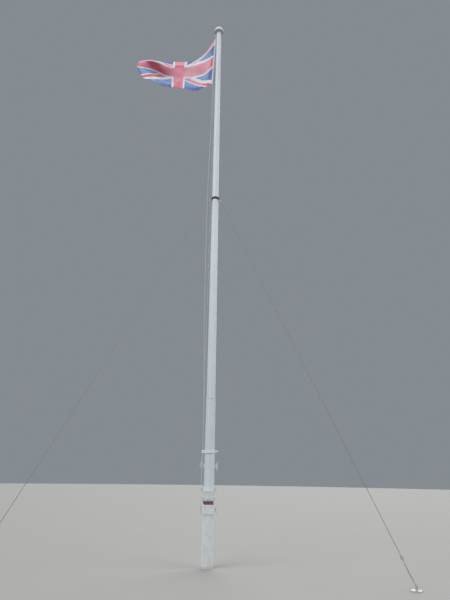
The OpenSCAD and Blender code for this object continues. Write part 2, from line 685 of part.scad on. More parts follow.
clip_bar_r = 2.5;
clip_r = rope_r + fit + clip_bar_r;
link_over = 5; // how far a clip's link runs past the ring and the sleeve's middle
module flag_clips() color(zinc) for (v = [0.03, 0.97]) {
    p = hoist(v);
    x = fall_x(p[2]);
    translate([x, -rope_y, p[2]]) rotate_extrude() translate([clip_r, 0]) circle(r = clip_bar_r, $fn = 24);
    // Link from the ring to the front of the sleeve
    link_y = hoist_y + sleeve_t / 2 + fit;
    left = min(x, p[0]) - link_over;
    translate([left, link_y, p[2] - clip_bar_r])
        cube([max(x, p[0]) + link_over - left, -rope_y - clip_r - link_y + clip_bar_r, 2 * clip_bar_r]);
}

base_post();
post_head();
cheek(-1);  // cheek_left
cheek(1);  // cheek_right
pole_heel();
heel_bolt();
lower_pole();
joint_ring();
upper_pole();
clamp_half(-1);  // clamp_front
clamp_half(1);  // clamp_back
clamp_bolts();
guide_band();
guide_horn();
upper_cleat(-1);  // upper_cleat_left
upper_cleat(1);  // upper_cleat_right
lower_cleat(-1);  // lower_cleat_left
lower_cleat(1);  // lower_cleat_right
hound_band();
shackle(0);  // shackle_right
shackle(1);  // shackle_left
shackle(2);  // shackle_back
stay(0);  // stay_right
stay(1);  // stay_left
stay(2);  // stay_back
screw(0);  // screw_right
screw(1);  // screw_left
screw(2);  // screw_back
forks(0);  // forks_right
forks(1);  // forks_left
forks(2);  // forks_back
anchor(0);  // anchor_right
anchor(1);  // anchor_left
anchor(2);  // anchor_back
truck();
sheave();
sheave_pin();
halyard();
hoist_sleeve();
flag_clips();
flag_cloth();
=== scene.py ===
import bpy
import math
from mathutils import Matrix, Vector, noise


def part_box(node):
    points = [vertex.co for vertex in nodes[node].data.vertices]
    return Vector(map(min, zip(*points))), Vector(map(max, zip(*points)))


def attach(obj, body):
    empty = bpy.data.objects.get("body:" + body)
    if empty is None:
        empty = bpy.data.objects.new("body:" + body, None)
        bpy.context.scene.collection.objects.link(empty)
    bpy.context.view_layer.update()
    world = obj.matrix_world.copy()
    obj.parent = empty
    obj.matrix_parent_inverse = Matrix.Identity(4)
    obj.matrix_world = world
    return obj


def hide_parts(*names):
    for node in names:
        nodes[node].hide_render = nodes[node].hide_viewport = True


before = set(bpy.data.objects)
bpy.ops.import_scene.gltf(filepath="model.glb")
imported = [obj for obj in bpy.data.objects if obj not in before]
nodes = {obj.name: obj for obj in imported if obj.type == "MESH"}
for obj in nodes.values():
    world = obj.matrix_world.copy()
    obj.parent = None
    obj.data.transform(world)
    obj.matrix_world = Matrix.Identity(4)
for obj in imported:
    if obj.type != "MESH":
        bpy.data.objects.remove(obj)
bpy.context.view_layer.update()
print("frame loaded:", len(nodes), "nodes")


# Camera and studio

cameraSetup = {
    "place": (0.257, -9.99, 1.6),  # eye height, 10 m in front of the pole
    "tiltUp": 18.66, "turnLeft": 0.056, "roll": 0.8, "lens": 30.6, "sensor": 36, "seesTo": 500,
}


def makeCamera():
    setup = cameraSetup
    data = bpy.data.cameras.new("camera")
    data.sensor_width = setup["sensor"]
    data.lens = setup["lens"]
    data.clip_end = setup["seesTo"]
    camera = bpy.data.objects.new("camera", data)
    bpy.context.scene.collection.objects.link(camera)
    turn = Matrix.Rotation(math.radians(setup["turnLeft"]), 4, "Z")
    tilt = Matrix.Rotation(math.radians(90 + setup["tiltUp"]), 4, "X")
    roll = Matrix.Rotation(math.radians(setup["roll"]), 4, "Z")
    camera.matrix_world = Matrix.Translation(setup["place"]) @ turn @ tilt @ roll
    bpy.context.scene.camera = camera


lightSetup = {
    "sky": (0.235, 0.26, 0.285), "skyStrength": 1.0,
    "suns": [  # direction the light comes from, strength, softness in degrees
        ((-6.5, -6, 7.5), 2.2, 50),
        ((9, -3.5, 5), 1.55, 60),
        ((2, 8, 6), 1.9, 60),
    ],
}


def makeLights():
    world = bpy.data.worlds.new("studio")
    world.use_nodes = True
    sky = world.node_tree.nodes["Background"]
    sky.inputs["Color"].default_value = (*lightSetup["sky"], 1)
    sky.inputs["Strength"].default_value = lightSetup["skyStrength"]
    bpy.context.scene.world = world
    for number, (place, strength, softness) in enumerate(lightSetup["suns"]):
        data = bpy.data.lights.new(f"sun{number}", "SUN")
        data.energy = strength
        data.angle = math.radians(softness)
        sun = bpy.data.objects.new(data.name, data)
        sun.rotation_euler = Vector(place).to_track_quat("Z", "Y").to_euler()
        bpy.context.scene.collection.objects.link(sun)
    bpy.context.scene.view_settings.view_transform = "Standard"


# Shader building

def rgba(colour):
    return (*colour, 1) if isinstance(colour, tuple) else colour


class Value:  # one output socket, so that shader sums read as sums
    def __init__(self, finish, socket):
        self.finish = finish
        self.socket = socket

    def math(self, operation, *others):
        sockets = dict(enumerate([self, *others]))
        return self.finish.add("ShaderNodeMath", {"operation": operation}, sockets)

    def __add__(self, other):
        return self.math("ADD", other)

    __radd__ = __add__

    def __sub__(self, other):
        return self.math("SUBTRACT", other)

    def __rsub__(self, other):
        return self.math("MULTIPLY", -1) + other

    def __mul__(self, other):
        return self.math("MULTIPLY", other)

    __rmul__ = __mul__

    def __abs__(self):
        return self.math("ABSOLUTE")

    def __lt__(self, other):
        return self.math("LESS_THAN", other)

    def __gt__(self, other):
        return self.math("GREATER_THAN", other)

    def sign(self):
        return self.math("SIGN")

    def most(self, other):
        return self.math("MAXIMUM", other)

    def between(self, start, end):  # 0 up to the start and 1 from the end, whichever is higher
        sockets = {"Value": self, "From Min": start, "From Max": end}
        return self.finish.add("ShaderNodeMapRange", {"interpolation_type": "SMOOTHSTEP"}, sockets)


class Finish:  # one material and the nodes that make it
    def __init__(self, name, look, **fixed):
        self.look = look
        self.material = bpy.data.materials.new(name)
        self.material.use_nodes = True
        tree = self.material.node_tree
        self.nodes = tree.nodes
        self.links = tree.links
        self.shader = self.nodes["Principled BSDF"]
        for socket, value in fixed.items():
            self.shader.inputs[socket.replace("_", " ")].default_value = value
        self.place = self.add("ShaderNodeTexCoord", out="Object")
        self.uv = self.add("ShaderNodeTexCoord", out="UV")
        self.facing = self.add("ShaderNodeNewGeometry", out="Normal")
        self.masks = {"all": 1, "height": self.axis(self.place, "Z")}

    def add(self, kind, settings=None, sockets=None, out=0):
        made = self.nodes.new(kind)
        for key, value in (settings or {}).items():
            setattr(made, key, value)
        for key, value in (sockets or {}).items():
            self.feed(made.inputs[key], value)
        return Value(self, made.outputs[out])

    def feed(self, socket, value):
        if isinstance(value, Value):
            self.links.new(value.socket, socket)
        else:
            socket.default_value = value

    def axis(self, source, name):
        return self.add("ShaderNodeSeparateXYZ", None, {"Vector": source}, name)

    def stretch(self, source, scale):
        return self.add("ShaderNodeMapping", None, {"Vector": source, "Scale": scale})

    def away(self, place):  # distance from a place
        sockets = {0: self.place, 1: place}
        return self.add("ShaderNodeVectorMath", {"operation": "DISTANCE"}, sockets, "Value")

    def noise(self, size, detail, stretch=(1, 1, 1), rough=0.55, source="place"):
        sockets = {"Vector": self.stretch(getattr(self, source), stretch), "Scale": size,
                   "Detail": detail, "Roughness": rough}
        return self.add("ShaderNodeTexNoise", None, sockets)

    def cells(self, size):
        sockets = {"Vector": self.place, "Scale": size}
        return self.add("ShaderNodeTexVoronoi", {"feature": "F1"}, sockets, "Distance")

    def mask(self, name, *edges):  # a noise, or a list of masks to multiply, made when first used
        if name not in self.masks:
            made = self.look["masks"][name]
            if isinstance(made, list):
                self.masks[name] = math.prod(self.mask(*part) for part in made)
            else:
                self.masks[name] = self.noise(*made)
        return self.masks[name].between(*edges) if edges else self.masks[name]

    def layers(self, colour, layers):  # each is a mask, its share, its colour and maybe its edges
        for name, share, tint, *edges in layers:
            colour = self.blend(self.mask(name, *edges) * share, colour, self.look.get(tint, tint))
        return colour

    def total(self, start, *terms):  # each is a mask, its weight and maybe its edges
        for name, weight, *edges in terms:
            start = self.mask(name, *edges) * weight + start
        return start

    def blend(self, amount, first, second):
        sockets = {0: amount, 6: rgba(first), 7: rgba(second)}
        return self.add("ShaderNodeMix", {"data_type": "RGBA"}, sockets, 2)

    def bump(self, height, distance, strength=1.0, under=None):
        sockets = {"Height": height, "Distance": distance, "Strength": strength}
        if under:
            sockets["Normal"] = under
        return self.add("ShaderNodeBump", None, sockets, "Normal")

    def show(self, **outputs):
        for socket, value in outputs.items():
            self.feed(self.shader.inputs[socket.replace("_", " ")], value)
        return self.material

    def byTables(self):  # the whole finish from the tables of its look
        look = self.look
        outputs = {"Base_Color": self.layers(look["base"], look["layers"]),
                   "Roughness": self.total(*look["rough"])}
        if "metal" in look:
            outputs["Metallic"] = self.total(*look["metal"])
        if "relief" in look:
            outputs["Normal"] = self.bump(self.total(*look["relief"]), look["depth"])
        return self.show(**outputs)


# Looks. A mask is a noise (size, detail, stretch, roughness, source) or a list of masks to
# multiply. A layer is a mask, its share, its colour and its edges. Rough, metal and relief are a
# start with masks, their weights and their edges.

ironLook = {
    "masks": {"pits": (240, 5, (1, 1, 1), 0.7), "bloom": (45, 5, (1, 1, 0.6))},
    "base": (0.022, 0.019, 0.017),
    "layers": [("pits", 1, (0.075, 0.055, 0.045), 0.35, 0.7),
               ("bloom", 0.75, (0.20, 0.075, 0.03), 0.5, 0.68)],
    "rough": (0.55, ("bloom", 0.35)), "metal": (0.75, ("bloom", -0.6, 0.45, 0.65)),
    "relief": (0, ("pits", 1)), "depth": 0.0007,
}
zincLook = {
    "masks": {"cloud": (30, 4), "stain": (70, 5, (1, 1, 0.6))},
    "spangle": 160, "base": (0.41, 0.42, 0.425),
    "layers": [("spangle", 1, (0.46, 0.47, 0.475), 0.2, 0.7),
               ("cloud", 0.5, (0.53, 0.54, 0.53), 0.45, 0.7),
               ("stain", 0.5, (0.27, 0.16, 0.10), 0.62, 0.74)],
    "rough": (0.42, ("cloud", 0.3)), "metal": (0.8, ("stain", -0.5, 0.58, 0.7)),
    "relief": (0, ("cloud", 1), ("spangle", 0.4)), "depth": 0.0003,
}
wireLook = {
    "masks": {"dirt": (6, 5, (1, 40, 1), 0.55, "uv")},
    "base": (0.30, 0.305, 0.31), "layers": [("dirt", 1, (0.11, 0.10, 0.09), 0.4, 0.7)],
    "rough": (0.4, ("dirt", 0.3)), "metal": (0.85, ("dirt", -0.2)), "relief": (0, ("dirt", 1)),
    "depth": 0.0002,
}
brassLook = {
    "masks": {"tarnish": (120, 5)},
    "base": (0.52, 0.36, 0.13), "layers": [("tarnish", 1, (0.14, 0.10, 0.05), 0.4, 0.65)],
    "rough": (0.35, ("tarnish", 0.4)), "metal": (1, ("tarnish", -0.3)),
    "relief": (0, ("tarnish", 1)), "depth": 0.0002,
}
fibreLook = {
    "masks": {"yarns": (1, 3, (60, 260, 1), 0.55, "uv"), "soil": (9, 5, (1, 1, 0.5)),
              "weather": (90, 4)},
    "base": (0.72, 0.73, 0.72),
    "layers": [("yarns", 1, (0.52, 0.52, 0.50), 0.35, 0.7),
               ("soil", 0.4, (0.44, 0.43, 0.39), 0.42, 0.7),
               ("weather", 0.3, (0.30, 0.30, 0.28), 0.55, 0.72)],
    "rough": (0.85, ("yarns", 0.1)), "relief": (0, ("yarns", 1)), "depth": 0.0007,
}
twineLook = {
    "masks": {"fibre": (900, 3), "wax": (120, 3)},
    "base": (0.50, 0.46, 0.36), "layers": [("fibre", 1, (0.30, 0.26, 0.19), 0.35, 0.7)],
    "rough": (0.6, ("wax", 0.3)), "relief": (0, ("fibre", 1)), "depth": 0.0003,
}
floorLook = {
    "masks": {"mottle": (0.8, 3)},
    "base": (0.305, 0.297, 0.28), "layers": [("mottle", 0.3, (0.288, 0.28, 0.266))],
    "rough": (0.8, ("mottle", 0.1)),
}
paintTones = {
    "white": (0.65, 0.70, 0.765),
    "low": (0.53, 0.59, 0.63),  # darker, greyer tone lower down; the paint turns white between 1.6 m and 6.5 m up
    "worn": (0.52, 0.55, 0.58), "grime": (0.33, 0.34, 0.34), "algae": (0.30, 0.34, 0.26),
    "soil": (0.40, 0.30, 0.265), "rust": (0.30, 0.12, 0.075), "wood": (0.33, 0.27, 0.21),
    "post": (0.62, 0.63, 0.625), "chamfer": (0.60, 0.61, 0.62), "fitting": (0.655, 0.665, 0.685),
}
paintMasks = {
    "patches": (3.2, 3, (1, 1, 0.35)), "runs": (1, 3, (26, 26, 0.5)), "speckle": (420, 2),
    "flakes": (38, 6, (1, 1, 0.45), 0.65), "wet": (9, 6, (1, 1, 0.6)),
    "damp": [("wet", 0.42, 0.62), ("height", 3.4, 1.6)], "splits": (1, 2, (24, 24, 0.45)),
    "splitPlaces": (1, 2, (5, 5, 0.9)),
    "crack": [("splitLine", 0.006, 0.002), ("splitPlaces", 0.5, 0.6)],
    "mottle": (11, 5, (1, 1, 0.6), 0.6), "splash": (22, 6, (1, 1, 0.7), 0.6),
    "foot": [("splashed", 0.03, -0.005)], "rusted": [("foot",), ("splash", 0.52, 0.62)],
    "bolt": [("fromBolt", 0.05, 0.02), ("splash", 0.36, 0.46)], "cast": (160, 4),
    "stain": (34, 5, (1, 1, 0.5)),
}
glossIor = 1.47


def agedPaint(brush, chip, bare, layers, relief=(), rough=()):  # look of old brushed paint
    return {
        **paintTones,
        "masks": {**paintMasks, "brush": (1, 5, brush, 0.6)},
        "base": paintTones["low"],
        "layers": [("height", 1, "white", 1.6, 6.5), ("patches", 0.30, "worn", 0.35, 0.7),
                   ("runs", 0.20, "grime", 0.52, 0.74), ("speckle", 0.10, "grime", 0.56, 0.75),
                   ("brush", 0.12, "worn", 0.5, 0.75), ("flakes", 1, bare, *chip), *layers],
        "rough": (0.44, ("brush", 0.18), ("runs", 0.12, 0.52, 0.74), ("flakes", 0.25, *chip),
                  *rough),
        "relief": (0, ("brush", 0.35), ("speckle", 0.12), ("flakes", -0.6, *chip), *relief),
        "depth": 0.0006,
    }


poleLook = agedPaint(
    (70, 70, 1.6), (0.70, 0.72), "wood",
    layers=[("damp", 0.16, "algae"), ("crack", 0.55, "grime")],
    relief=[("crack", -1.5)])
postLook = agedPaint(
    (42, 42, 3), (0.70, 0.72), "rust",
    layers=[("all", 0.55, "post"), ("mottle", 0.28, "grime", 0.40, 0.66),
            # the chamfer faces get a tone of their own, picked by which way they face: painted
            # light, for how the chamfers catch the light
            ("corner", 0.75, "chamfer", 0.30, 0.42), ("foot", 0.35, "soil"),
            ("rusted", 0.35, "rust"), ("bolt", 0.95, "rust")],
    relief=[("rusted", 0.5)],
    rough=[("foot", 0.1)])
postLook.update(splashUp=0.06, boltAt=(-0.104, -0.055, 1.085))
fittingLook = agedPaint(
    (60, 60, 40), (0.68, 0.70), "rust",
    layers=[("all", 0.65, "fitting"), ("stain", 0.35, "soil", 0.60, 0.72)],
    relief=[("cast", 0.5)])


def polePaint():  # with the fine drying cracks of a timber pole
    f = Finish("polePaint", poleLook, IOR=glossIor)
    f.masks["splitLine"] = abs(f.mask("splits") - 0.5)
    return f.byTables()


def postPaint():
    f = Finish("postPaint", postLook, IOR=glossIor)
    # Facing mask for the painted light on the chamfers
    f.masks["corner"] = abs(f.axis(f.facing, "X")) * abs(f.axis(f.facing, "Y"))
    f.masks["splashed"] = f.mask("height") - f.mask("splash") * f.look["splashUp"]
    f.masks["fromBolt"] = f.away(f.look["boltAt"])
    return f.byTables()


def galvanised():
    f = Finish("galvanised", zincLook)
    f.masks["spangle"] = f.cells(f.look["spangle"])
    return f.byTables()


timberLook = {
    "masks": {
        "grain": (1, 6, (90, 90, 3.5), 0.62),
        "bands": (1, 3, (16, 16, 1.2)),
        "damp": (26, 5),
        "flecks": (62, 4, (1, 1, 0.5), 0.7),
        "line": [("fromLine", 0.007, 0.002)],
    },
    "base": (0.055, 0.038, 0.028),
    "layers": [("grain", 1, (0.165, 0.12, 0.09), 0.35, 0.68),
               ("bands", 0.55, (0.24, 0.085, 0.055), 0.45, 0.65),
               ("damp", 0.55, (0.10, 0.11, 0.085), 0.52, 0.68),
               ("flecks", 0.8, (0.40, 0.41, 0.40), 0.59, 0.65),
               ("line", 0.8, (0.055, 0.038, 0.028)),
               ("coat", 1, paintTones["worn"], 0, 0.003)],
    "rough": (0.75, ("grain", 0.15)), "relief": (0, ("grain", 0.8), ("bands", 0.4), ("line", -1)),
    "depth": 0.0012,
    "lineAt": 0.052,  # dark line across the heel, under its top
    "lineWander": 0.012,
    "paintDown": 0.017,  # how far the pole's paint runs down the heel
    "paintWander": 0.008,
}


def weatheredTimber():
    look = timberLook
    f = Finish("weatheredTimber", look)
    fromTop = f.mask("height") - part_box("pole_heel")[1].z + f.mask("damp") * look["lineWander"]
    f.masks["fromLine"] = abs(fromTop + look["lineAt"])
    f.masks["coat"] = fromTop + look["paintDown"] + f.mask("flecks") * look["paintWander"]
    return f.byTables()


truckLook = {
    "masks": {
        "moss": (34, 6, (1, 1, 1), 0.65),
        "streak": (1, 4, (40, 40, 2)),
        "mossUnder": [("moss",), ("under",)],
    },
    "base": (0.76, 0.83, 0.815), "worn": (0.62, 0.67, 0.65),
    "layers": [("moss", 0.45, "worn", 0.4, 0.7), ("streak", 0.3, "worn", 0.55, 0.7),
               ("moss", 0.6, (0.10, 0.115, 0.085), 0.62, 0.70),
               # painted shade with some dirt: downward faces and the lower rim are greyed, for the
               # shade under the truck
               ("under", 0.92, (0.37, 0.38, 0.405))],
    "rough": (0.45, ("under", 0.3)), "relief": (0, ("moss", 0.3), ("mossUnder", 0.4)),
    "depth": 0.0012, "downward": (-0.25, -0.75),
    "rimShade": (0.038, 0.032),  # how far up the rim the painted shade of the underside reaches
    "rimWander": 0.008,
}


def truckPaint():
    look = truckLook
    f = Finish("truckPaint", look, IOR=glossIor)
    fromFoot = f.mask("height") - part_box("truck")[0].z + f.mask("moss") * look["rimWander"]
    # The underside mask paints shade with some dirt: it picks faces that point down, and the foot
    # of the rim.
    downward = f.axis(f.facing, "Z").between(*look["downward"])
    f.masks["under"] = downward.most(fromFoot.between(*look["rimShade"]))
    return f.byTables()


canvasLook = {
    "masks": {
        "soil": (26, 5, (1, 1, 0.4)),
        "seam": [("fromSeam", 0.026, 0.012)],
        "stitch": [("seam",), ("fromStitch", 0.42, 0.30)],
    },
    "base": (0.64, 0.645, 0.64),
    "layers": [("soil", 0.6, (0.42, 0.41, 0.37), 0.42, 0.7), ("stitch", 1, (0.74, 0.74, 0.72))],
    "rough": (0.85, ("soil", 0.1)),
    "relief": (0, ("weave", 0.4), ("soil", 0.6), ("stitch", 2.5), ("seam", -0.8)), "depth": 0.0006,
    "weave": {"Scale": 30, "Distortion": 1.2, "Detail": 1},
    "weaveStretch": (1, 40, 1),
    "seamAt": 0.20,  # how far each seam runs from the middle, as a share of the width
    "stitches": 150,  # in the whole length
}


def canvasWeave():
    look = canvasLook
    f = Finish("canvasWeave", look, Sheen_Weight=0.2)
    sockets = {"Vector": f.stretch(f.uv, look["weaveStretch"]), **look["weave"]}
    warp, weft = (f.add("ShaderNodeTexWave", {"bands_direction": way}, sockets, "Fac")
                  for way in "XY")
    f.masks["weave"] = warp.most(weft)
    f.masks["fromSeam"] = abs(abs(f.axis(f.uv, "X") - 0.5) - look["seamAt"])
    f.masks["fromStitch"] = abs((f.axis(f.uv, "Y") * look["stitches"]).math("FRACT") - 0.5)
    return f.byTables()


flagDyes = {
    "red": (0.66, 0.12, 0.17), "blue": (0.06, 0.11, 0.36), "white": (0.73, 0.76, 0.80),
    # The second red layer and the second blue layer are painted shade, for folds, doubled cloth and
    # the sleeve's shadow
    "redLayers": [("redFade", 1, (0.80, 0.44, 0.53)), ("double", 0.85, (0.62, 0.05, 0.11))],
    # The first blue layer is paler where the cloth has faded in clouds, and paler lower down as
    # painted light coming through the cloth
    "blueLayers": [("blueSum", 1, (0.215, 0.335, 0.58), 0.1, 1),
                   ("double", 0.85, (0.045, 0.065, 0.34))],
    "whiteLayers": [("soil", 1, (0.54, 0.58, 0.60))],
    "overAll": [("weave", 0.10, (0.12, 0.12, 0.15), 0.4, 0.8), ("seams", 0.18, (0.16, 0.14, 0.18))],
    "rough": (0.8, ("soil", 0.1)), "seamDepth": 0.0012, "weaveDepth": (0.0003, 0.6),
    "masks": {
        "clouds": (3, 4, (2, 1, 1), 0.55, "uv"),
        "cloud": [("clouds", 0.3, 0.7)],
        "spots": (14, 5, (2, 1, 1), 0.55, "uv"),
        "soil": [("spots", 0.45, 0.75), ("towardsFly",)],
        "weave": (1, 2, (1600, 800, 1), 0.55, "uv"),
        # Painted shade: the dyes are darker where the cloth is doubled or turned under, along the
        # slanting fold and beside the sleeve, for the light that comes through less there and for
        # the sleeve's shadow
        "slant": [("slantLine", 0.078, 0.045), ("slantRun", 0.17, 0.10)],
        "middle": [("middleLine", 0.04, 0.014), ("middleRun", 0.15, 0.06)],
        "sleeve": [("sleeveLine", 0.035, 0.005), ("drop", 0.2, 0.3)],
        "lower": [("drop", 0.86, 0.97), ("lowerRun", 0.42, 0.25), ("offRed",)],
        "outer": [("fly", 0.955, 0.985), ("drop", 0.50, 0.62), ("drop", 0.92, 0.86)],
        "corner": [("fly", 0.60, 0.85), ("drop", 0.55, 0.70)],
    },
    # these masks together make the painted shade of the folds and doubled cloth
    "doubled": ("slant", "middle", "sleeve", "lower", "outer"),
    "lines": {  # distance from a line, as weights of the fly and the drop and an offset
        "slantLine": (0.82, 0.57, -0.933), "slantRun": (0, 1, -0.45),
        "middleLine": (0.05, 1, -0.385), "middleRun": (1, 0, -0.5), "lowerRun": (1, 0, -0.42),
    },
    "totals": {
        "towardsFly": (0.35, ("fly", 0.65)),
        "sleeveLine": (0, ("fly", 1), ("drop", -0.08)),
        "offRed": (1, ("redCross", -0.7)),
        "throughClouds": (0.55, ("cloud", 0.45)),
        # fading in clouds, plus painted light through the cloth that grows lower down
        "blueSum": (0, ("cloud", 0.35), ("drop", 0.75, 0.10, 0.40)),
    },
    "redFades": [  # to multiply
        (0.62, ("cloud", 0.5)), (1, ("fly", -0.75)), (1, ("drop", -0.5, 0.55, 0.95)),
        (1, ("corner", -0.8)), (0.65, ("drop", 0.35, 0.10, 0.30))],
}
flagPattern = {  # in parts of the flag's width, 50 along the fly and 30 down the hoist
    "unitsAlong": 50, "unitsDown": 30, "slope": 0.6, "redCross": 3, "whiteCross": 4.2,
    "whiteSaltire": (-2.85, 2.1), "redSaltire": 2, "seam": (0.16, 0.05),
}


def flagBunting():
    dyes = flagDyes
    look = flagPattern
    f = Finish("flagBunting", dyes, Sheen_Weight=0.15, Sheen_Roughness=0.5)
    fly = f.axis(f.uv, "X")
    drop = 1 - f.axis(f.uv, "Y")
    along = fly - 0.5
    down = drop - 0.5
    fromUpright = abs(along) * look["unitsAlong"]  # distance from the upright middle line
    fromLevel = abs(down) * look["unitsDown"]  # distance from the level middle line
    toNormal = look["unitsDown"] * math.cos(math.atan(look["slope"]))
    side = (abs(down) - abs(along)) * toNormal * down.sign() * along.sign()
    low, high = look["whiteSaltire"]
    whiteSaltire = (side > low) * (side < high)
    redSaltire = (side > -look["redSaltire"]) * (side < 0)
    whiteCross = (fromUpright < look["whiteCross"]).most(fromLevel < look["whiteCross"])
    redCross = (fromUpright < look["redCross"]).most(fromLevel < look["redCross"])
    white = whiteSaltire.most(whiteCross)
    red = (redSaltire * (1 - whiteCross)).most(redCross)
    # Raised seams along the edges of the panels
    edges = [(abs(side), look["redSaltire"], 1 - whiteCross)]
    for width in (look["redCross"], look["whiteCross"]):
        edges.append((fromUpright, width, fromLevel > width))
        edges.append((fromLevel, width, fromUpright > width))
    seams = 0
    for line, place, where in edges:
        seams = (abs(line - place).between(*look["seam"]) * where).most(seams)
    f.masks.update(fly=fly, drop=drop, redCross=redCross, seams=seams)
    for name, (right, lower, offset) in dyes["lines"].items():
        f.masks[name] = abs(fly * right + drop * lower + offset)
    for name, terms in dyes["totals"].items():
        f.masks[name] = f.total(*terms)
    # painted shade: the highest of the fold masks, thinned in clouds
    double = 0
    for name in dyes["doubled"]:
        double = f.mask(name).most(double)
    f.masks["double"] = double * f.mask("throughClouds")
    f.masks["redFade"] = math.prod(f.total(*terms) for terms in dyes["redFades"])
    redTone, blueTone, whiteTone = (f.layers(dyes[dye], dyes[f"{dye}Layers"])
                                    for dye in ("red", "blue", "white"))
    colour = f.blend(red, f.blend(white, blueTone, whiteTone), redTone)
    raised = f.bump(seams, dyes["seamDepth"])
    return f.show(Base_Color=f.layers(colour, dyes["overAll"]), Roughness=f.total(*dyes["rough"]),
                  Normal=f.bump(f.mask("weave"), *dyes["weaveDepth"], raised))


makeCamera()
makeLights()
ropeSheen = {"Sheen_Weight": 0.3, "Sheen_Roughness": 0.5}
finishes = {
    "pole": polePaint(), "paint": postPaint(),
    "fittings": Finish("fittingPaint", fittingLook, IOR=glossIor).byTables(),
    "timber": weatheredTimber(), "iron": Finish("rustedIron", ironLook).byTables(),
    "zinc": galvanised(), "wire": Finish("wireSteel", wireLook).byTables(), "truck": truckPaint(),
    "brass": Finish("oldBrass", brassLook).byTables(),
    "rope": Finish("ropeFibre", fibreLook, **ropeSheen).byTables(),
    "twine": Finish("whippingTwine", twineLook, Sheen_Weight=0.2).byTables(),
    "canvas": canvasWeave(), "cloth": flagBunting(),
}
print("finishes made:", len(finishes))


# Carried-over solids get their finishes, and soft edges where the real ones have them

sides = ("right", "left", "back")
finishedWith = {
    "paint": ["base_post", "post_head", "cheek_left", "cheek_right", "heel_bolt"],
    "timber": ["pole_heel"], "pole": ["lower_pole", "joint_ring", "upper_pole"],
    "fittings": ["clamp_front", "clamp_back", "clamp_bolts", "guide_band", "guide_horn",
                 "upper_cleat_left", "upper_cleat_right", "lower_cleat_left", "lower_cleat_right"],
    "iron": ["hound_band", "sheave_pin"], "truck": ["truck"], "brass": ["sheave"],
    "canvas": ["hoist_sleeve"], "rope": ["halyard"], "cloth": ["flag_cloth"],
    "wire": [f"stay_{side}" for side in sides],
    "zinc": ["flag_clips"] + [f"{kind}_{side}" for kind in ("shackle", "screw", "forks", "anchor")
                              for side in sides],
}
softEdges = {  # radius of the edges in millimetres
    3: ["base_post", "post_head", "guide_band"],
    2: ["cheek_left", "cheek_right", "clamp_front", "clamp_back"],
    1.5: ["hound_band"] + [f"anchor_{side}" for side in sides],
}
edgeSegments = 3
sharpFrom = 32  # degrees

for finish, names in finishedWith.items():
    for name in names:
        nodes[name].data.materials.clear()
        nodes[name].data.materials.append(finishes[finish])
for radius, names in softEdges.items():
    for name in names:
        bevel = nodes[name].modifiers.new("edges", "BEVEL")
        bevel.width = radius / 1000
        bevel.segments = edgeSegments
        bevel.limit_method = "ANGLE"
        bevel.angle_limit = math.radians(sharpFrom)
        bevel.harden_normals = True


# Mesh helpers

towardsBack = Vector((0, 1, 0))


def newPiece(name, shape, finish, body="mast", smooth=True, stands=()):
    verts, faces, uvs = shape
    mesh = bpy.data.meshes.new(name)
    mesh.from_pydata([tuple(v) for v in verts], [], faces)
    layer = mesh.uv_layers.new(name="UVMap")
    for corner in mesh.loops:
        layer.data[corner.index].uv = uvs[corner.vertex_index]
    mesh.polygons.foreach_set("use_smooth", [smooth] * len(mesh.polygons))
    mesh.materials.append(finishes[finish])
    mesh.update()
    piece = bpy.data.objects.new(name, mesh)
    bpy.context.scene.collection.objects.link(piece)
    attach(piece, body)
    if stands:
        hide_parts(*stands)
    return piece


def gridFaces(rows, columns, closed=False):
    span = columns if closed else columns - 1
    return [(r * columns + c, r * columns + (c + 1) % columns,
             (r + 1) * columns + (c + 1) % columns, (r + 1) * columns + c)
            for r in range(rows - 1) for c in range(span)]


def curvePoint(a, b, c, d, t):  # point t of the way from b to c on a smooth curve
    return 0.5 * (2 * b + (c - a) * t + (2 * a - 5 * b + 4 * c - d) * t * t
                  + (3 * b - a - 3 * c + d) * t ** 3)


def smoothRoute(points, steps=3):
    last = len(points) - 1
    route = []
    for i in range(last):
        four = points[max(i - 1, 0)], points[i], points[i + 1], points[min(i + 2, last)]
        route += [curvePoint(*four, k / steps) for k in range(steps)]
    return route + [points[last]]


def evenRoute(points, step):  # the same polyline with points a step apart
    out, carry = [points[0]], 0.0
    for a, b in zip(points, points[1:]):
        length = (b - a).length
        while carry + length >= step:
            part = step - carry
            a = a + (b - a) * (part / length)
            length -= part
            carry = 0.0
            out.append(a)
        carry += length
    if (out[-1] - points[-1]).length > step / 4:
        out.append(points[-1])
    return out


def heading(points, i):
    return (points[min(i + 1, len(points) - 1)] - points[max(i - 1, 0)]).normalized()


def distances(points):  # how far along the route each point is
    runs = [0.0]
    for a, b in zip(points, points[1:]):
        runs.append(runs[-1] + (b - a).length)
    return runs


def circle(sides):
    angles = [2 * math.pi * k / sides for k in range(sides)]
    return [(math.cos(angle), math.sin(angle)) for angle in angles]


def joinShapes(*shapes):
    verts, faces, uvs = [], [], []
    for shapeVerts, shapeFaces, shapeUvs in shapes:
        start = len(verts)
        verts += shapeVerts
        faces += [tuple(start + v for v in face) for face in shapeFaces]
        uvs += shapeUvs
    return verts, faces, uvs


def cappedRings(rings, runs):  # closed skin over rings of points that all have the same count
    sides = len(rings[0])
    verts = [point for ring in rings for point in ring]
    uvs = [(k / sides, run) for run in runs for k in range(sides)]
    faces = gridFaces(len(rings), sides, True)
    faces.append(tuple(reversed(range(sides))))
    faces.append(tuple(range(len(verts) - sides, len(verts))))
    return verts, faces, uvs


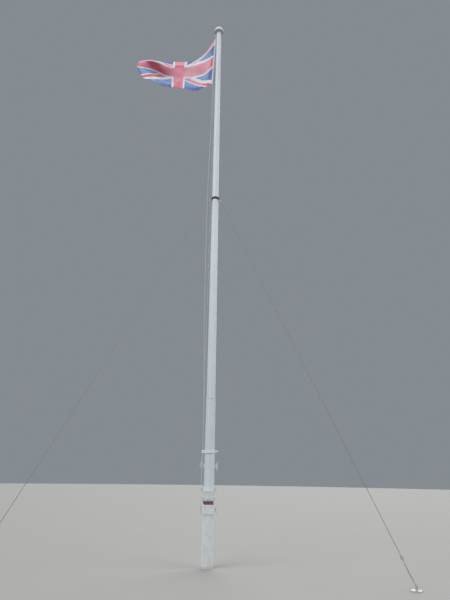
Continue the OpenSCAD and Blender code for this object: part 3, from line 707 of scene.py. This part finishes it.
def twistedRope(points, look):  # laid strands, with grooves between them
    runs = distances(points)
    across = heading(points, 0).orthogonal().normalized()
    rings = []
    for i, point in enumerate(points):
        along = heading(points, i)
        across = (across - along * across.dot(along)).normalized()
        other = along.cross(across)
        turn = 2 * math.pi * runs[i] / look["lay"]
        ring = []
        for k in range(look["sides"]):
            angle = 2 * math.pi * k / look["sides"]
            groove = look["groove"] * abs(math.sin(look["strands"] * angle / 2))
            toSide = math.cos(angle + turn) * across + math.sin(angle + turn) * other
            ring.append(point + look["radius"] * (1 - groove) * toSide)
        rings.append(ring)
    return cappedRings(rings, runs)


def turnedShape(profile, base, direction, sides):  # profile is (radius, height) along direction
    along = Vector(direction).normalized()
    across = along.orthogonal().normalized()
    other = along.cross(across)
    rings = [[base + along * height + radius * (x * across + y * other) for x, y in circle(sides)]
             for radius, height in profile]
    return cappedRings(rings, [height for radius, height in profile])


def loft(points, sizes, across, sides=16):  # oval sections; across stays square to the route
    rings = []
    for i, (wide, deep) in enumerate(sizes):
        other = heading(points, i).cross(across).normalized()
        rings.append([points[i] + wide * x * across + deep * y * other for x, y in circle(sides)])
    return cappedRings(rings, distances(points))


def roundedEnd(way, start, least):  # share of a bar's radius near its end, which is at 1
    return math.sqrt(max(least, 1 - max(0, (way - start) / (1 - start)) ** 2))


# Halyard: one laid rope from the cleat, up and over the sheave, and back

sheaveMiddle = (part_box("sheave")[0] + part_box("sheave")[1]) / 2
guideLow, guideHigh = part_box("guide_band")
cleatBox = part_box("upper_cleat_left")
cleatMiddleZ = (cleatBox[0].z + cleatBox[1].z) / 2

ropeLook = {
    "radius": 0.0045, "strands": 3, "lay": 0.036, "sides": 12, "groove": 0.22, "step": 0.006,
    "lean": 0.0216,  # how far the flag's fall leans out for each metre down
    "leaning": (8.2, 9.2, 10.2, 11.2),  # heights
    "guideX": -0.130,
    "guideSide": 7,  # millimetres from the middle of the guide eye
    "guidePast": 10,
    "cleatIn": 0.009,  # from a cleat's outer face to the middle of its turns
    "sheaveStep": 20,  # degrees
}
fallGap = 0.0238  # half the distance between the two falls at the sheave
rising = [
    (-0.136, -0.012, 3.0), (-0.146, -0.016, 3.5), (-0.162, -0.020, 4.1), (-0.172, -0.022, 4.9),
    (-0.176, -fallGap, 5.6), (-0.173, -fallGap, 6.5), (-0.172, -fallGap, 7.4)]
falling = [
    (-0.086, fallGap, 11.0), (-0.098, fallGap, 8.6), (-0.108, fallGap, 6.5),
    (-0.116, 0.020, 5.0), (-0.124, 0.016, 4.0), (-0.128, 0.010, 3.0)]
figureEight = [  # this and the next are in millimetres from the cleat
    (18, 17, -34), (25, 0, -36), (20, -18, -31), (8, -26, -23), (-6, -26, -16), (-20, -18, -10),
    (-26, -4, -3), (-24, 8, 5), (-15, 20, 14), (0, 25, 22), (16, 18, 28), (23, 0, 31),
    (16, -19, 28), (4, -25, 22), (-8, -22, 16), (-16, -12, 9), (-15, 0, 0), (-12, 9, -10),
    (-2, 15, -20), (10, 13, -29), (15.5, 0, -33), (9, -14, -27), (2, -15, -16), (0, -14, 8),
    (0, -14, 34), (2, -15, 60)]
lastTurn = [
    (-22, 4, 60), (-34, 2, 20), (-37, 2, 0), (-33, 10, -20), (-17, 23, -36), (2, 24, -47),
    (15, 8, -52), (13, -8, -57), (2, -16, -62), (-2, -15, -80), (-1, -16, -110)]
clampPass = [(-2, -20, 150), (-2, -23, 85), (-2, -23, -15), (-1, -20, -160)]
lowTurn = [
    (-2, -14, 70), (-8, -13, 25), (-15, 0, -8), (-10, 12, -32), (2, 15, -50), (15, 0, -57),
    (4, -14, -62), (0, -14, -95)]


def around(middle, points):
    return [middle + Vector(p) / 1000 for p in points]


def halyardRoute():
    look = ropeLook
    side, past = look["guideSide"], look["guidePast"]
    guide = Vector((look["guideX"], 0, guideLow.z))
    lift = (guideHigh.z - guideLow.z) * 1000 + past
    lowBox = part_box("lower_cleat_left")
    cleatAt = Vector((cleatBox[0].x + look["cleatIn"], 0, cleatMiddleZ))
    lowAt = Vector((lowBox[0].x + look["cleatIn"], 0, (lowBox[0].z + lowBox[1].z) / 2))
    clampAt = Vector((cleatAt.x, 0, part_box("clamp_front")[0].z))
    up = around(cleatAt, figureEight) + around(guide, [(0, -side, -past), (0, -side, lift)])
    up += [Vector(p) for p in rising]
    for z in look["leaning"]:
        up.append(Vector((sheaveMiddle.x - look["lean"] * (sheaveMiddle.z - z), -fallGap, z)))
    over = []
    for angle in range(180, -1, -look["sheaveStep"]):
        part = math.radians(angle)
        over.append(sheaveMiddle + Vector((0, fallGap * math.cos(part), fallGap * math.sin(part))))
    back = [Vector(p) for p in falling] + around(guide, [(0, side, lift), (0, side, -past)])
    back += around(cleatAt, lastTurn) + around(clampAt, clampPass) + around(lowAt, lowTurn)
    return smoothRoute(up) + over + smoothRoute(back)


whippingLook = {
    "radius": 0.0047,
    "ends": 0.8,  # share of the radius
    "twine": 0.0016,
    "bulge": 0.45,  # share of the twine
    "turns": 12, "sides": 24, "inset": 0.004,
    "straight": 4,  # rope points that give its direction
}


def whipping(rope):  # waxed twine wound round the rope's start
    look = whippingLook
    radius, twine = look["radius"], look["twine"]
    along = (rope[look["straight"]] - rope[0]).normalized()
    whole = look["turns"] * twine
    profile = [(radius * look["ends"], 0)]
    for turn in range(look["turns"]):
        low = turn * twine
        profile += [(radius, low), (radius + twine * look["bulge"], low + twine / 2)]
    profile += [(radius, whole), (radius * look["ends"], whole)]
    return turnedShape(profile, rope[0] + along * look["inset"], along, look["sides"])


halyardPoints = evenRoute(halyardRoute(), ropeLook["step"])
newPiece("halyard_rope", twistedRope(halyardPoints, ropeLook), "rope", stands=["halyard"])
newPiece("halyard_whipping", joinShapes(whipping(halyardPoints), whipping(halyardPoints[::-1])),
         "twine")
print("halyard laid")


# Stays: stranded wire round a thimble, with a pressed ferrule at each end

stayLook = {
    "angles": {"right": -28, "left": -148, "back": 92},  # degrees from the X axis
    "reach": {"right": 3.5, "left": 3.95, "back": 3.7},  # from the pole to the anchor's eye
    "anchorEye": 0.062,
    "lugReach": 0.10206,  # from the pole's middle to the hole in the stay band's lug
    "radius": 0.005, "strands": 6, "lay": 0.075, "sides": 12, "groove": 0.18, "step": 0.009,
    "eye": 0.0179,
    "eyeLow": 0.4022,  # from the anchor's pin to the middle of the lower eye
    "eyeHigh": 0.0497,  # from the lug's hole down to the middle of the upper eye
    "eyeTurn": 140,  # half of the angle that the wire goes round its thimble
    "eyeStep": 20,
    "neck": (0.0046, 0.0052),  # half the wires' distance in the ferrule and at its mouth
    "neckDeep": 0.8,  # how far the wire's end runs into the ferrule, as a share
    "mouth": 0.002, "ferrule": (0.0105, 0.0075), "ferruleAt": 0.022, "ferruleLength": 0.042,
    "ferruleForm": [(0.0, 0.70), (0.03, 0.86), (0.10, 1.0), (0.5, 1.03), (0.90, 1.0), (0.97, 0.86),
                    (1.0, 0.70)],
    "ferruleSides": 20, "thimble": (0.00515, 0.0061),
    "thimbleWrap": (80, 20),  # degrees round the wire, and its step
    "thimbleShort": 6,  # degrees less than the wire
    "thimbleStep": 8,
}


class Stay:  # the line of one stay, and the two directions square to it
    def __init__(self, side):
        look = stayLook
        angle = math.radians(look["angles"][side])
        outward = Vector((math.cos(angle), math.sin(angle), 0))
        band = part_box("hound_band")
        self.foot = outward * look["reach"][side] + Vector((0, 0, look["anchorEye"]))
        self.head = outward * look["lugReach"] + Vector((0, 0, (band[0].z + band[1].z) / 2))
        self.rise = (self.head - self.foot).normalized()
        self.pin = Vector((-math.sin(angle), math.cos(angle), 0))
        self.cross = self.rise.cross(self.pin)

    def at(self, up):
        return self.foot + self.rise * up

    def round(self, toWire, angle):  # a direction round an eye, from the side away from the wire
        part = math.radians(angle)
        return math.sin(part) * self.cross - math.cos(part) * toWire


def eyeRoute(stay, eye, toWire):  # from one side of the neck, round the eye, to the other
    look = stayLook
    inside, outside = look["neck"]
    deep = eye + toWire * (look["ferruleAt"] + look["ferruleLength"] * look["neckDeep"])
    mouth = eye + toWire * (look["ferruleAt"] + look["mouth"])
    turns = range(look["eyeTurn"], -look["eyeTurn"] - 1, -look["eyeStep"])
    bow = [eye + look["eye"] * stay.round(toWire, angle) for angle in turns]
    aside = stay.cross * outside
    return [deep + stay.cross * inside, mouth + aside, *bow, mouth - aside]


def thimble(stay, eye, toWire):  # grooved liner on the inside of the eye
    look = stayLook
    inner, outer = look["thimble"]
    wrap, step = look["thimbleWrap"]
    angles = [math.radians(a) for a in range(-wrap, wrap + 1, step)]
    section = [(inner, a) for a in angles] + [(outer, a) for a in reversed(angles)]
    turn = look["eyeTurn"] - look["thimbleShort"]
    rings = []
    for angle in range(-turn, turn + 1, look["thimbleStep"]):
        outward = stay.round(toWire, angle)
        point = eye + look["eye"] * outward
        rings.append([point + r * (math.sin(a) * stay.pin - math.cos(a) * outward)
                      for r, a in section])
    return cappedRings(rings, range(len(rings)))


def ferrule(stay, eye, toWire):
    look = stayLook
    wide, deep = look["ferrule"]
    base = eye + toWire * look["ferruleAt"]
    points = [base + toWire * look["ferruleLength"] * way for way, size in look["ferruleForm"]]
    sizes = [(wide * size, deep * size) for way, size in look["ferruleForm"]]
    return loft(points, sizes, stay.cross, look["ferruleSides"])


for side in stayLook["angles"]:
    look = stayLook
    stay = Stay(side)
    whole = (stay.head - stay.foot).length
    low, high = look["eyeLow"], whole - look["eyeHigh"]
    plain = look["ferruleAt"] + look["ferruleLength"]
    eyes = [(stay, stay.at(low), stay.rise), (stay, stay.at(high), -stay.rise)]
    straight = evenRoute([stay.at(low + plain), stay.at(high - plain)], look["step"])
    wireRoute = smoothRoute(eyeRoute(*eyes[0])) + straight + smoothRoute(eyeRoute(*eyes[1])[::-1])
    newPiece(f"wire_{side}", twistedRope(wireRoute, look), "wire", stands=[f"stay_{side}"])
    fittings = [make(*eye) for make in (thimble, ferrule) for eye in eyes]
    newPiece(f"eye_fittings_{side}", joinShapes(*fittings), "zinc")
print("stays strung")


# Rigging screws: threads, lock nuts and split pins on the CAD forks and barrels

screwLook = {
    "rod": 0.00803, "ridge": 0.0006, "pitch": 0.002, "threadSides": 20,
    "threadRings": 4,  # in each turn
    "threadShort": 0.001, "rodFrom": 0.034, "barrelFrom": 0.084,
    "span": 0.398,  # pin to pin
    "nut": [(0.01242, 0), (0.0135, 0.0012), (0.0135, 0.0088), (0.01242, 0.010)], "nutSides": 6,
    "collar": [(0.0140, 0), (0.0152, 0.0002), (0.0158, 0.0012), (0.0158, 0.009),
               (0.0152, 0.0104), (0.0141, 0.012)],
    "collarSides": 32, "pinEnd": 0.0172,
    "splitLeg": [(-0.0135, 0.0060), (-0.0108, 0.0024), (-0.0085, 0.0007), (0, 0.0007),
                 (0.0085, 0.0007), (0.0105, 0.0022), (0.0130, 0.0020)],
    "splitEye": (0.0143, 0),
}
splitWire = {"radius": 0.0009, "strands": 1, "lay": 1, "sides": 8, "groove": 0}


def thread(base, along):
    look = screwLook
    across = along.orthogonal().normalized()
    other = along.cross(across)
    length = look["barrelFrom"] - look["rodFrom"] - look["threadShort"]
    count = round(length / look["pitch"] * look["threadRings"])
    corners = circle(look["threadSides"])
    rings, runs = [], []
    for i in range(count + 1):
        height = length * i / count
        ring = []
        for k, (x, y) in enumerate(corners):
            part = (height / look["pitch"] - k / len(corners)) % 1
            reach = look["rod"] + look["ridge"] * (1 - abs(2 * part - 1))
            ring.append(base + along * height + reach * (x * across + y * other))
        rings.append(ring)
        runs.append(height)
    return cappedRings(rings, runs)


def splitPin(middle, across, up):  # eye on one side, two bent legs on the other
    leg = screwLook["splitLeg"]
    outline = [*leg, screwLook["splitEye"], *((a, -b) for a, b in reversed(leg))]
    return twistedRope(smoothRoute([middle + across * a + up * b for a, b in outline]), splitWire)


for side in stayLook["angles"]:
    look = screwLook
    stay = Stay(side)
    nutFrom = look["barrelFrom"] - look["nut"][-1][1]
    threads, nuts, splits, collars = [], [], [], []
    for start, turned in ((stay.foot, 1), (stay.at(look["span"]), -1)):
        along = stay.rise * turned
        threads.append(thread(start + along * look["rodFrom"], along))
        nuts.append(turnedShape(look["nut"], start + along * nutFrom, along, look["nutSides"]))
        collarAt = start + along * look["barrelFrom"]
        collars.append(turnedShape(look["collar"], collarAt, along, look["collarSides"]))
        for end in (1, -1):
            pinAt = start + stay.pin * look["pinEnd"] * end
            splits.append(splitPin(pinAt, stay.cross * end, along))
    newPiece(f"screw_threads_{side}", joinShapes(*threads), "zinc")
    newPiece(f"lock_nuts_{side}", joinShapes(*nuts), "zinc", smooth=False)
    newPiece(f"barrel_collars_{side}", joinShapes(*collars), "zinc")
    newPiece(f"split_pins_{side}", joinShapes(*splits), "zinc")
print("rigging screws finished")


# Cleats: cast in one piece, with two legs on a rounded base and a horn at each end

cleatLook = {
    "bar": 0.008, "barMiddle": 0.0092, "tip": 0.0043, "barSteps": 34, "bend": 2.4,
    "thinFrom": 0.6,  # where the bar starts to get thinner, from its middle to its tip
    "thinning": 1.3, "rounded": (0.94, 0.02),
    "base": (0.018, 0.042, 0.0095),  # half width, half height, thickness
    "baseRings": 24, "baseSides": 28, "baseOff": 0.0004, "baseLeast": 0.004,
    "crown": (0.4, 0.75),  # roundness, and the share that is left at the ends
    "leg": (0.0088, 0.0066), "legForm": (1.55, 1.22, 1.05, 1.0, 1.0, 1.03, 1.15),
    "legLean": (1.08, 0.10), "legAt": 0.0182, "legOff": 0.002, "screwAt": 0.0335,
    "screwOff": 0.92,  # share of the base's thickness
    "clear": 0.001, "voxel": 0.0016, "smoothing": (0.5, 7),
}
screwHead = {  # shares of the radius, and of the height for the slot's depth
    "radius": 0.0048, "height": 0.0018, "columns": (0.98, 0.85, 0.6, 0.35, 0.16, 0.128), "rows": 9,
    "dome": 0.9, "slotHalf": 0.144, "slotDeep": 0.75,
}
cleats = {  # side, gap behind the bar, length, how far the tips bend out, whether on the pole
    "upper_cleat_left": (-1, 0.036, 0.165, 0.003, True),
    "upper_cleat_right": (1, 0.036, 0.165, 0.003, True),
    "lower_cleat_left": (-1, 0.014, 0.146, 0.003, False),
    "lower_cleat_right": (1, 0.014, 0.146, 0.032, False),
}


def cleatBar(middle, outward, length, curl):
    look = cleatLook
    thinFrom = look["thinFrom"]
    points, sizes = [], []
    for i in range(look["barSteps"] + 1):
        t = 2 * i / look["barSteps"] - 1
        way = abs(t)
        bent = outward * curl * way ** look["bend"]
        points.append(middle + bent + Vector((0, 0, t * length / 2)))
        swell = math.cos(math.pi * min(way / thinFrom, 1) / 2)
        radius = look["bar"] + (look["barMiddle"] - look["bar"]) * swell
        if way > thinFrom:
            thinner = ((way - thinFrom) / (1 - thinFrom)) ** look["thinning"]
            radius = look["bar"] + (look["tip"] - look["bar"]) * thinner
        radius *= roundedEnd(way, *look["rounded"])
        sizes.append((radius, radius))
    return loft(points, sizes, towardsBack)


def cleatLeg(face, middle, outward, height):
    look = cleatLook
    wide, high = look["leg"]
    foot, lean = look["legLean"]
    last = len(look["legForm"]) - 1
    start = middle - outward * middle.dot(outward) + outward * face
    points = [start.lerp(middle, i / last) + Vector((0, 0, height * (foot - lean * i / last)))
              for i in range(last + 1)]
    return loft(points, [(wide * size, high * size) for size in look["legForm"]], towardsBack)


def cleatBase(face, curved, outward, z):  # follows the pole where the pole is curved
    look = cleatLook
    wide, high, thick = look["base"]
    roundness, ends = look["crown"]
    rings, heights = [], []
    for i in range(look["baseRings"] + 1):
        way = high * math.sin(math.pi * (i / look["baseRings"] - 0.5))
        past = max(0, abs(way) - (high - wide)) / wide
        half = wide * math.sqrt(max(look["baseLeast"], 1 - past * past))
        ring = []
        for x, y in circle(look["baseSides"]):
            aside = half * x
            back = math.sqrt(face * face - aside * aside) if curved else face
            crown = max(0, y) ** roundness * (ends + (1 - ends) * half / wide)
            reach = back + (face + thick - back) * crown + look["baseOff"]
            ring.append(outward * reach + Vector((0, aside * outward.x, z + way)))
        rings.append(ring)
        heights.append(way)
    return cappedRings(rings, heights)


def slottedHead(middle, outward):  # domed screw head with a slot across it
    look = screwHead
    radius, height, rows = look["radius"], look["height"], look["rows"]
    columns = [-radius * part for part in look["columns"]]
    columns += [-x for x in reversed(columns)]
    verts, uvs = [], []
    for x in columns:
        chord = math.sqrt(radius * radius - x * x)
        for j in range(rows):
            y = chord * (2 * j / (rows - 1) - 1)
            up = height * math.sqrt(1 - look["dome"] * (x * x + y * y) / radius ** 2)
            if abs(x) < radius * look["slotHalf"]:
                up -= height * look["slotDeep"]
            verts.append(middle + outward * up + Vector((0, y, x)))
            uvs.append((x, y))
    return verts, gridFaces(len(columns), rows), uvs


def makeCleat(name, side, gap, length, curl, curved):
    look = cleatLook
    low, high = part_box(name)
    z = (low.z + high.z) / 2
    outward = Vector((side, 0, 0))
    if curved:
        face = max(abs(low.x), abs(high.x)) - 2 * look["bar"] - look["clear"] - gap
    else:
        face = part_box("post_head")[1].x
    middle = outward * (face + gap + look["bar"]) + Vector((0, 0, z))
    screwFace = outward * (face + look["base"][2] * look["screwOff"])
    shapes = [cleatBar(middle, outward, length, curl), cleatBase(face, curved, outward, z)]
    heads = []
    for end in (1, -1):
        shapes.append(cleatLeg(face + look["legOff"], middle, outward, end * look["legAt"]))
        heads.append(slottedHead(screwFace + Vector((0, 0, z + end * look["screwAt"])), outward))
    cleat = newPiece(f"{name}_cast", joinShapes(*shapes), "fittings", stands=[name])
    mesh = cleat.modifiers.new("one casting", "REMESH")
    mesh.mode = "VOXEL"
    mesh.voxel_size = look["voxel"]
    mesh.use_smooth_shade = True
    soften = cleat.modifiers.new("cast fillets", "SMOOTH")
    soften.factor, soften.iterations = look["smoothing"]
    newPiece(f"{name}_screws", joinShapes(*heads), "fittings")


for name, form in cleats.items():
    makeCleat(name, *form)
print("cleats cast")


# Pointed horn on the guide band, and the screws of the stay band

hornLook = {
    "sunk": 0.0008,  # how far the root goes into the band
    "wide": 0.0205, "tip": 0.0030,
    "rise": (0.46, 0.50, 0.80),  # heights on the band of the horn's root, middle and tip
    "steps": 16, "sides": 20, "taper": 1.25,
    "flare": (0.28, 0.14),  # how much wider the root is, and how far that reaches
    "rounded": (0.94, 0.05),
}
bandScrews = {
    "angles": (32, 152, 212, 272, 332),
    "inside": 0.0244,  # how far the heads sit inside the lugs' holes
    "form": [(0.0078, 0), (0.0078, 0.0014), (0.0066, 0.0034), (0.0040, 0.0048), (0.0010, 0.0053)],
    "sides": 20,
}


def makeHorn():
    look = hornLook
    low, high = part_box("guide_band")
    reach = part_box("guide_horn")[1].x
    start = high.x - look["sunk"]
    root, middle, tip = (low.z + (high.z - low.z) * part for part in look["rise"])
    wider, until = look["flare"]
    points, sizes = [], []
    for i in range(look["steps"] + 1):
        way = i / look["steps"]
        bend = (1 - way) ** 2 * root + 2 * way * (1 - way) * middle + way * way * tip
        points.append(Vector((start + (reach - start) * way, 0, bend)))
        taper = look["tip"] + (look["wide"] - look["tip"]) * (1 - way ** look["taper"])
        flare = 1 + wider * max(0, 1 - way / until) ** 2
        size = taper * flare * roundedEnd(way, *look["rounded"])
        sizes.append((size, size))
    newPiece("guide_horn_cast", loft(points, sizes, towardsBack, look["sides"]), "fittings",
             stands=["guide_horn"])


def makeBandScrews():
    look = bandScrews
    low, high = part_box("hound_band")
    middle = Vector((0, 0, (low.z + high.z) / 2))
    reach = stayLook["lugReach"] - look["inside"]
    shapes = []
    for angle in look["angles"]:
        part = math.radians(angle)
        outward = Vector((math.cos(part), math.sin(part), 0))
        shapes.append(turnedShape(look["form"], outward * reach + middle, outward, look["sides"]))
    newPiece("hound_screws", joinShapes(*shapes), "iron")


makeHorn()
makeBandScrews()
print("bands finished")


# Hoist sleeve: folded canvas sewn over a bolt rope, with a grommet at each clip

sleeveLook = {
    "lean": 0.0425,  # towards the fly for each metre down
    "fromSheave": 0.004, "topDown": 0.0006, "half": 0.0148, "edge": 0.0013,
    "rope": 0.0038,  # half thickness over the bolt rope
    "ropeAt": (0.55, 0.28),  # where it lies from the middle towards the pole's side, and how wide
    "steps": 180, "sides": 28, "clipAt": (0.03, 0.97),
    "pressed": (0.03, 0.45),  # flatter this near to a clip, and what stays of the thickness there
    "endThick": 0.35, "pucker": (0.0006, 260, 3),
}
grommetLook = {
    "off": (0.004, 0.0013),  # from the sleeve's middle towards the pole, and to each face
    "form": [(0.0034, 0), (0.0038, 0.0007), (0.0048, 0.0011), (0.0058, 0.0008), (0.0062, 0)],
    "sides": 28,
}


def makeSleeve():
    look = sleeveLook
    low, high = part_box("hoist_sleeve")
    edge = sheaveMiddle.x - look["fromSheave"]
    top = Vector((edge, (low.y + high.y) / 2, high.z - look["topDown"]))
    along = Vector((-look["lean"], 0, -1)).normalized()
    across = Vector((1, 0, -look["lean"])).normalized()
    length, steps = flagLook["size"][0], look["steps"]
    nearClip, pressed = look["pressed"]
    ropeAt, ropeWide = look["ropeAt"]
    height, downWaves, acrossWaves = look["pucker"]
    rings = []
    for i in range(steps + 1):
        way = i / steps
        flat = min(1, min(abs(way - place) for place in look["clipAt"]) / nearClip)
        end = min(1, min(way, 1 - way) * steps / 2 + look["endThick"])
        ring = []
        for x, y in circle(look["sides"]):
            fold = math.exp(-((x - ropeAt) / ropeWide) ** 2)
            full = look["rope"] * (pressed + (1 - pressed) * flat)
            thick = (look["edge"] + (full - look["edge"]) * fold) * end
            wave = height * math.sin(way * downWaves + x * acrossWaves) * flat
            place = top + along * length * way + across * look["half"] * x
            ring.append(place + towardsBack * (y * thick + wave))
        rings.append(ring)
    shape = cappedRings(rings, [i / steps for i in range(steps + 1)])
    newPiece("hoist_canvas", shape, "canvas", "flag", stands=["hoist_sleeve"])
    toPole, toFace = grommetLook["off"]
    rims = []
    for way in look["clipAt"]:
        middle = top + along * length * way - across * toPole
        rims += [grommetRim(middle + towardsBack * face * toFace, face) for face in (1, -1)]
    newPiece("hoist_grommets", joinShapes(*rims), "brass", "flag")


def grommetRim(middle, face):  # rolled brass rim standing on the canvas
    form, sides = grommetLook["form"], grommetLook["sides"]
    verts = [middle + Vector((radius * x, face * height, radius * y))
             for radius, height in form for x, y in circle(sides)]
    uvs = [(k / sides, height) for radius, height in form for k in range(sides)]
    return verts, gridFaces(len(form), sides, True), uvs


# Flag

flagLook = {
    "size": (1.37, 2.28),
    "fromSleeve": 0.0135,  # from the sleeve's middle to the cloth's edge
    "stepsAlong": 16,  # between two of the rows' places
    "stepsDown": 100, "thick": 0.0011, "hemThick": 0.0026, "hem": 0.012,
    "turnedBack": 0.95,  # how much of the top edge is folded behind, for each unit along the fly
    "turnedUntil": (0.17, 0.42), "least": 0.004, "flapRows": 16,
    "turnedFrom": 0.4,  # the folded part is made up for down to here
    "flapBack": (0.035, 0.05),  # how far back the flap hangs, and over what length
    "flapHang": (0.12, 0.95),  # how far it goes back and down for each unit of its length
    "sag": 0.03,
    "sagUntil": (0.45, 0.3),  # along and down
    "sagDown": 0.3,
}
ripples = {
    "wakeFrom": 6,  # how fast the ripples set in from the hoist
    "folds": (0.007, 4.6, 2.3, 0.6),  # height, waves down, waves along, start
    "crumple": (0.010, 12, 7, 0.3),  # height, size along and down, start
    "creases": (0.006, 11, 2.2, 0.55),  # height, waves along, waves up, where they start
}
rowPlaces = (0, 0.4, 0.6, 1)
flagRows = [
    [(0, 0, 0), (-0.12, 0.15, -0.04), (-0.26, 0.28, -0.11), (-0.45, 0.39, -0.12),
     (-0.66, 0.45, -0.09), (-0.85, 0.42, -0.13), (-1.03, 0.36, -0.20), (-1.21, 0.33, -0.24),
     (-1.37, 0.31, -0.28)],
    [(-0.017, 0, -0.4), (-0.15, 0.09, -0.42), (-0.31, 0.17, -0.42), (-0.47, 0.24, -0.41),
     (-0.65, 0.28, -0.39), (-0.83, 0.23, -0.43), (-1.00, 0.10, -0.47), (-1.18, 0.09, -0.42),
     (-1.37, 0.12, -0.42)],
    [(-0.0255, 0, -0.6), (-0.16, 0.11, -0.65), (-0.31, 0.20, -0.64), (-0.48, 0.27, -0.61),
     (-0.66, 0.29, -0.58), (-0.84, 0.28, -0.58), (-1.02, 0.25, -0.52), (-1.20, 0.15, -0.53),
     (-1.38, 0.03, -0.60)],
    [(-0.0425, 0, -1), (-0.17, 0.08, -1.01), (-0.32, 0.16, -1.00), (-0.48, 0.20, -0.95),
     (-0.65, 0.18, -0.93), (-0.82, 0.17, -0.92), (-0.98, 0.14, -0.90), (-1.12, 0.05, -0.89),
     (-1.24, -0.04, -0.93)]]


def rowStep(column, row):
    return (column[row + 1] - column[row]) / (rowPlaces[row + 1] - rowPlaces[row])


def rowSlope(column, row):
    last = len(rowPlaces) - 1
    if row in (0, last):
        return rowStep(column, min(row, last - 1))
    before = rowPlaces[row] - rowPlaces[row - 1]
    after = rowPlaces[row + 1] - rowPlaces[row]
    return (rowStep(column, row) * before + rowStep(column, row - 1) * after) / (before + after)


def drape(column, v):  # smooth curve down the cloth through the places in the rows
    row = sum(v >= place for place in rowPlaces[1:-1])
    gap = rowPlaces[row + 1] - rowPlaces[row]
    t = (v - rowPlaces[row]) / gap
    return ((2 * t ** 3 - 3 * t * t + 1) * column[row]
            + (t ** 3 - 2 * t * t + t) * gap * rowSlope(column, row)
            + (3 * t * t - 2 * t ** 3) * column[row + 1]
            + (t ** 3 - t * t) * gap * rowSlope(column, row + 1))


def clothRipple(along, down):  # small folds and creases that the wind puts in the big ones
    wake = min(1, along * ripples["wakeFrom"])
    height, wavesDown, wavesAlong, start = ripples["folds"]
    folds = height * math.sin(2 * math.pi * (wavesDown * down + wavesAlong * along) + start)
    height, wavesAlong, wavesDown, start = ripples["crumple"]
    crumple = height * noise.noise(Vector((along * wavesAlong, down * wavesDown, start)))
    height, wavesAlong, wavesUp, start = ripples["creases"]
    crease = height * math.sin(2 * math.pi * (wavesAlong * along - wavesUp * down))
    return (folds + crumple + crease * max(0, down - start) / (1 - start)) * wake


def foldedBack(along):  # share of the hoist that is folded behind the top edge
    look = flagLook
    start, end = look["turnedUntil"]
    t = min(1, max(0, (along - start) / (end - start)))
    return look["least"] + look["turnedBack"] * along * (1 - t * t * (3 - 2 * t))


def foldedRow(along, row):  # how far down the cloth a mesh row runs; the first rows are the flap
    flap, steps = flagLook["flapRows"], flagLook["stepsDown"]
    fold = foldedBack(along)
    return fold * row / flap if row < flap else fold + (1 - fold) * (row - flap) / (steps - flap)


class FlagCloth:  # the hung cloth as a surface: along 0 at the hoist, down 0 at the top
    def __init__(self):
        low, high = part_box("hoist_sleeve")
        edge = sheaveMiddle.x - sleeveLook["fromSheave"] - flagLook["fromSleeve"]
        self.corner = Vector((edge, (low.y + high.y) / 2, high.z))
        steps = flagLook["stepsAlong"]
        self.rows = [smoothRoute([Vector(p) for p in row], steps) for row in flagRows]
        self.columns = len(self.rows[0])

    def at(self, column, down):
        look = flagLook
        hoist = look["size"][0]
        along = column / (self.columns - 1)
        fold = foldedBack(along)
        reach = look["turnedFrom"]
        shown = down if down > reach else max(0, (down - fold) * reach / (reach - fold))
        sagAlong, sagDown = look["sagUntil"]
        sag = look["sag"] * math.sin(math.pi * min(1, along / sagAlong))
        sag *= max(0, 1 - shown / sagDown)
        place = self.corner + drape([row[column] for row in self.rows], shown) * hoist
        place += Vector((0, clothRipple(along, down) + sag, -sag * look["sagDown"]))
        if down < fold:
            hidden = (fold - down) * hoist
            far, within = look["flapBack"]
            back, hang = look["flapHang"]
            place += Vector((0, far * min(1, hidden / within) + hidden * back, -hidden * hang))
        return place

    def sheet(self, places, rows):  # mesh over places that are given as column and share down
        verts = [self.at(i, v) for i, v in places]
        uvs = [(i / (self.columns - 1), 1 - v) for i, v in places]
        return verts, gridFaces(rows, len(places) // rows), uvs


def thicken(piece, name, thickness):
    layer = piece.modifiers.new(name, "SOLIDIFY")
    layer.thickness = thickness
    layer.offset = 0


def makeFlag():
    cloth = FlagCloth()
    columns = range(cloth.columns)
    rows = range(flagLook["stepsDown"] + 1)
    places = [(i, foldedRow(i / columns[-1], j)) for j in rows for i in columns]
    flag = newPiece("flag_bunting", cloth.sheet(places, len(rows)), "cloth", "flag",
                    stands=["flag_cloth"])
    thicken(flag, "thickness", flagLook["thick"])
    makeHem(cloth)


def makeHem(cloth):  # doubled edge along the top, the fly and the bottom
    columns = range(cloth.columns)
    steps = flagLook["stepsDown"] * 2
    wide = flagLook["hem"] / flagLook["size"][0]
    level = [[(i, v) for v in ends for i in columns] for ends in ((0, wide), (1 - wide, 1))]
    fly = [(i, j / steps) for i in columns[-2:] for j in range(steps + 1)]
    shape = joinShapes(*(cloth.sheet(places, 2) for places in (*level, fly)))
    hem = newPiece("flag_hem", shape, "cloth", "flag")
    thicken(hem, "doubled cloth", flagLook["hemThick"])


makeSleeve()
makeFlag()
print("flag hung")


# Floor

floorForm = {"radius": 60, "sides": 72, "below": 0.0005}


def makeFloor():
    form = floorForm
    radius = form["radius"]
    ring = [(radius * x, radius * y, -form["below"]) for x, y in circle(form["sides"])]
    mesh = bpy.data.meshes.new("floor")
    mesh.from_pydata(ring, [], [tuple(range(len(ring)))])
    mesh.materials.append(Finish("studioFloor", floorLook).byTables())
    floor = bpy.data.objects.new("floor", mesh)
    bpy.context.scene.collection.objects.link(floor)


makeFloor()

print("done")
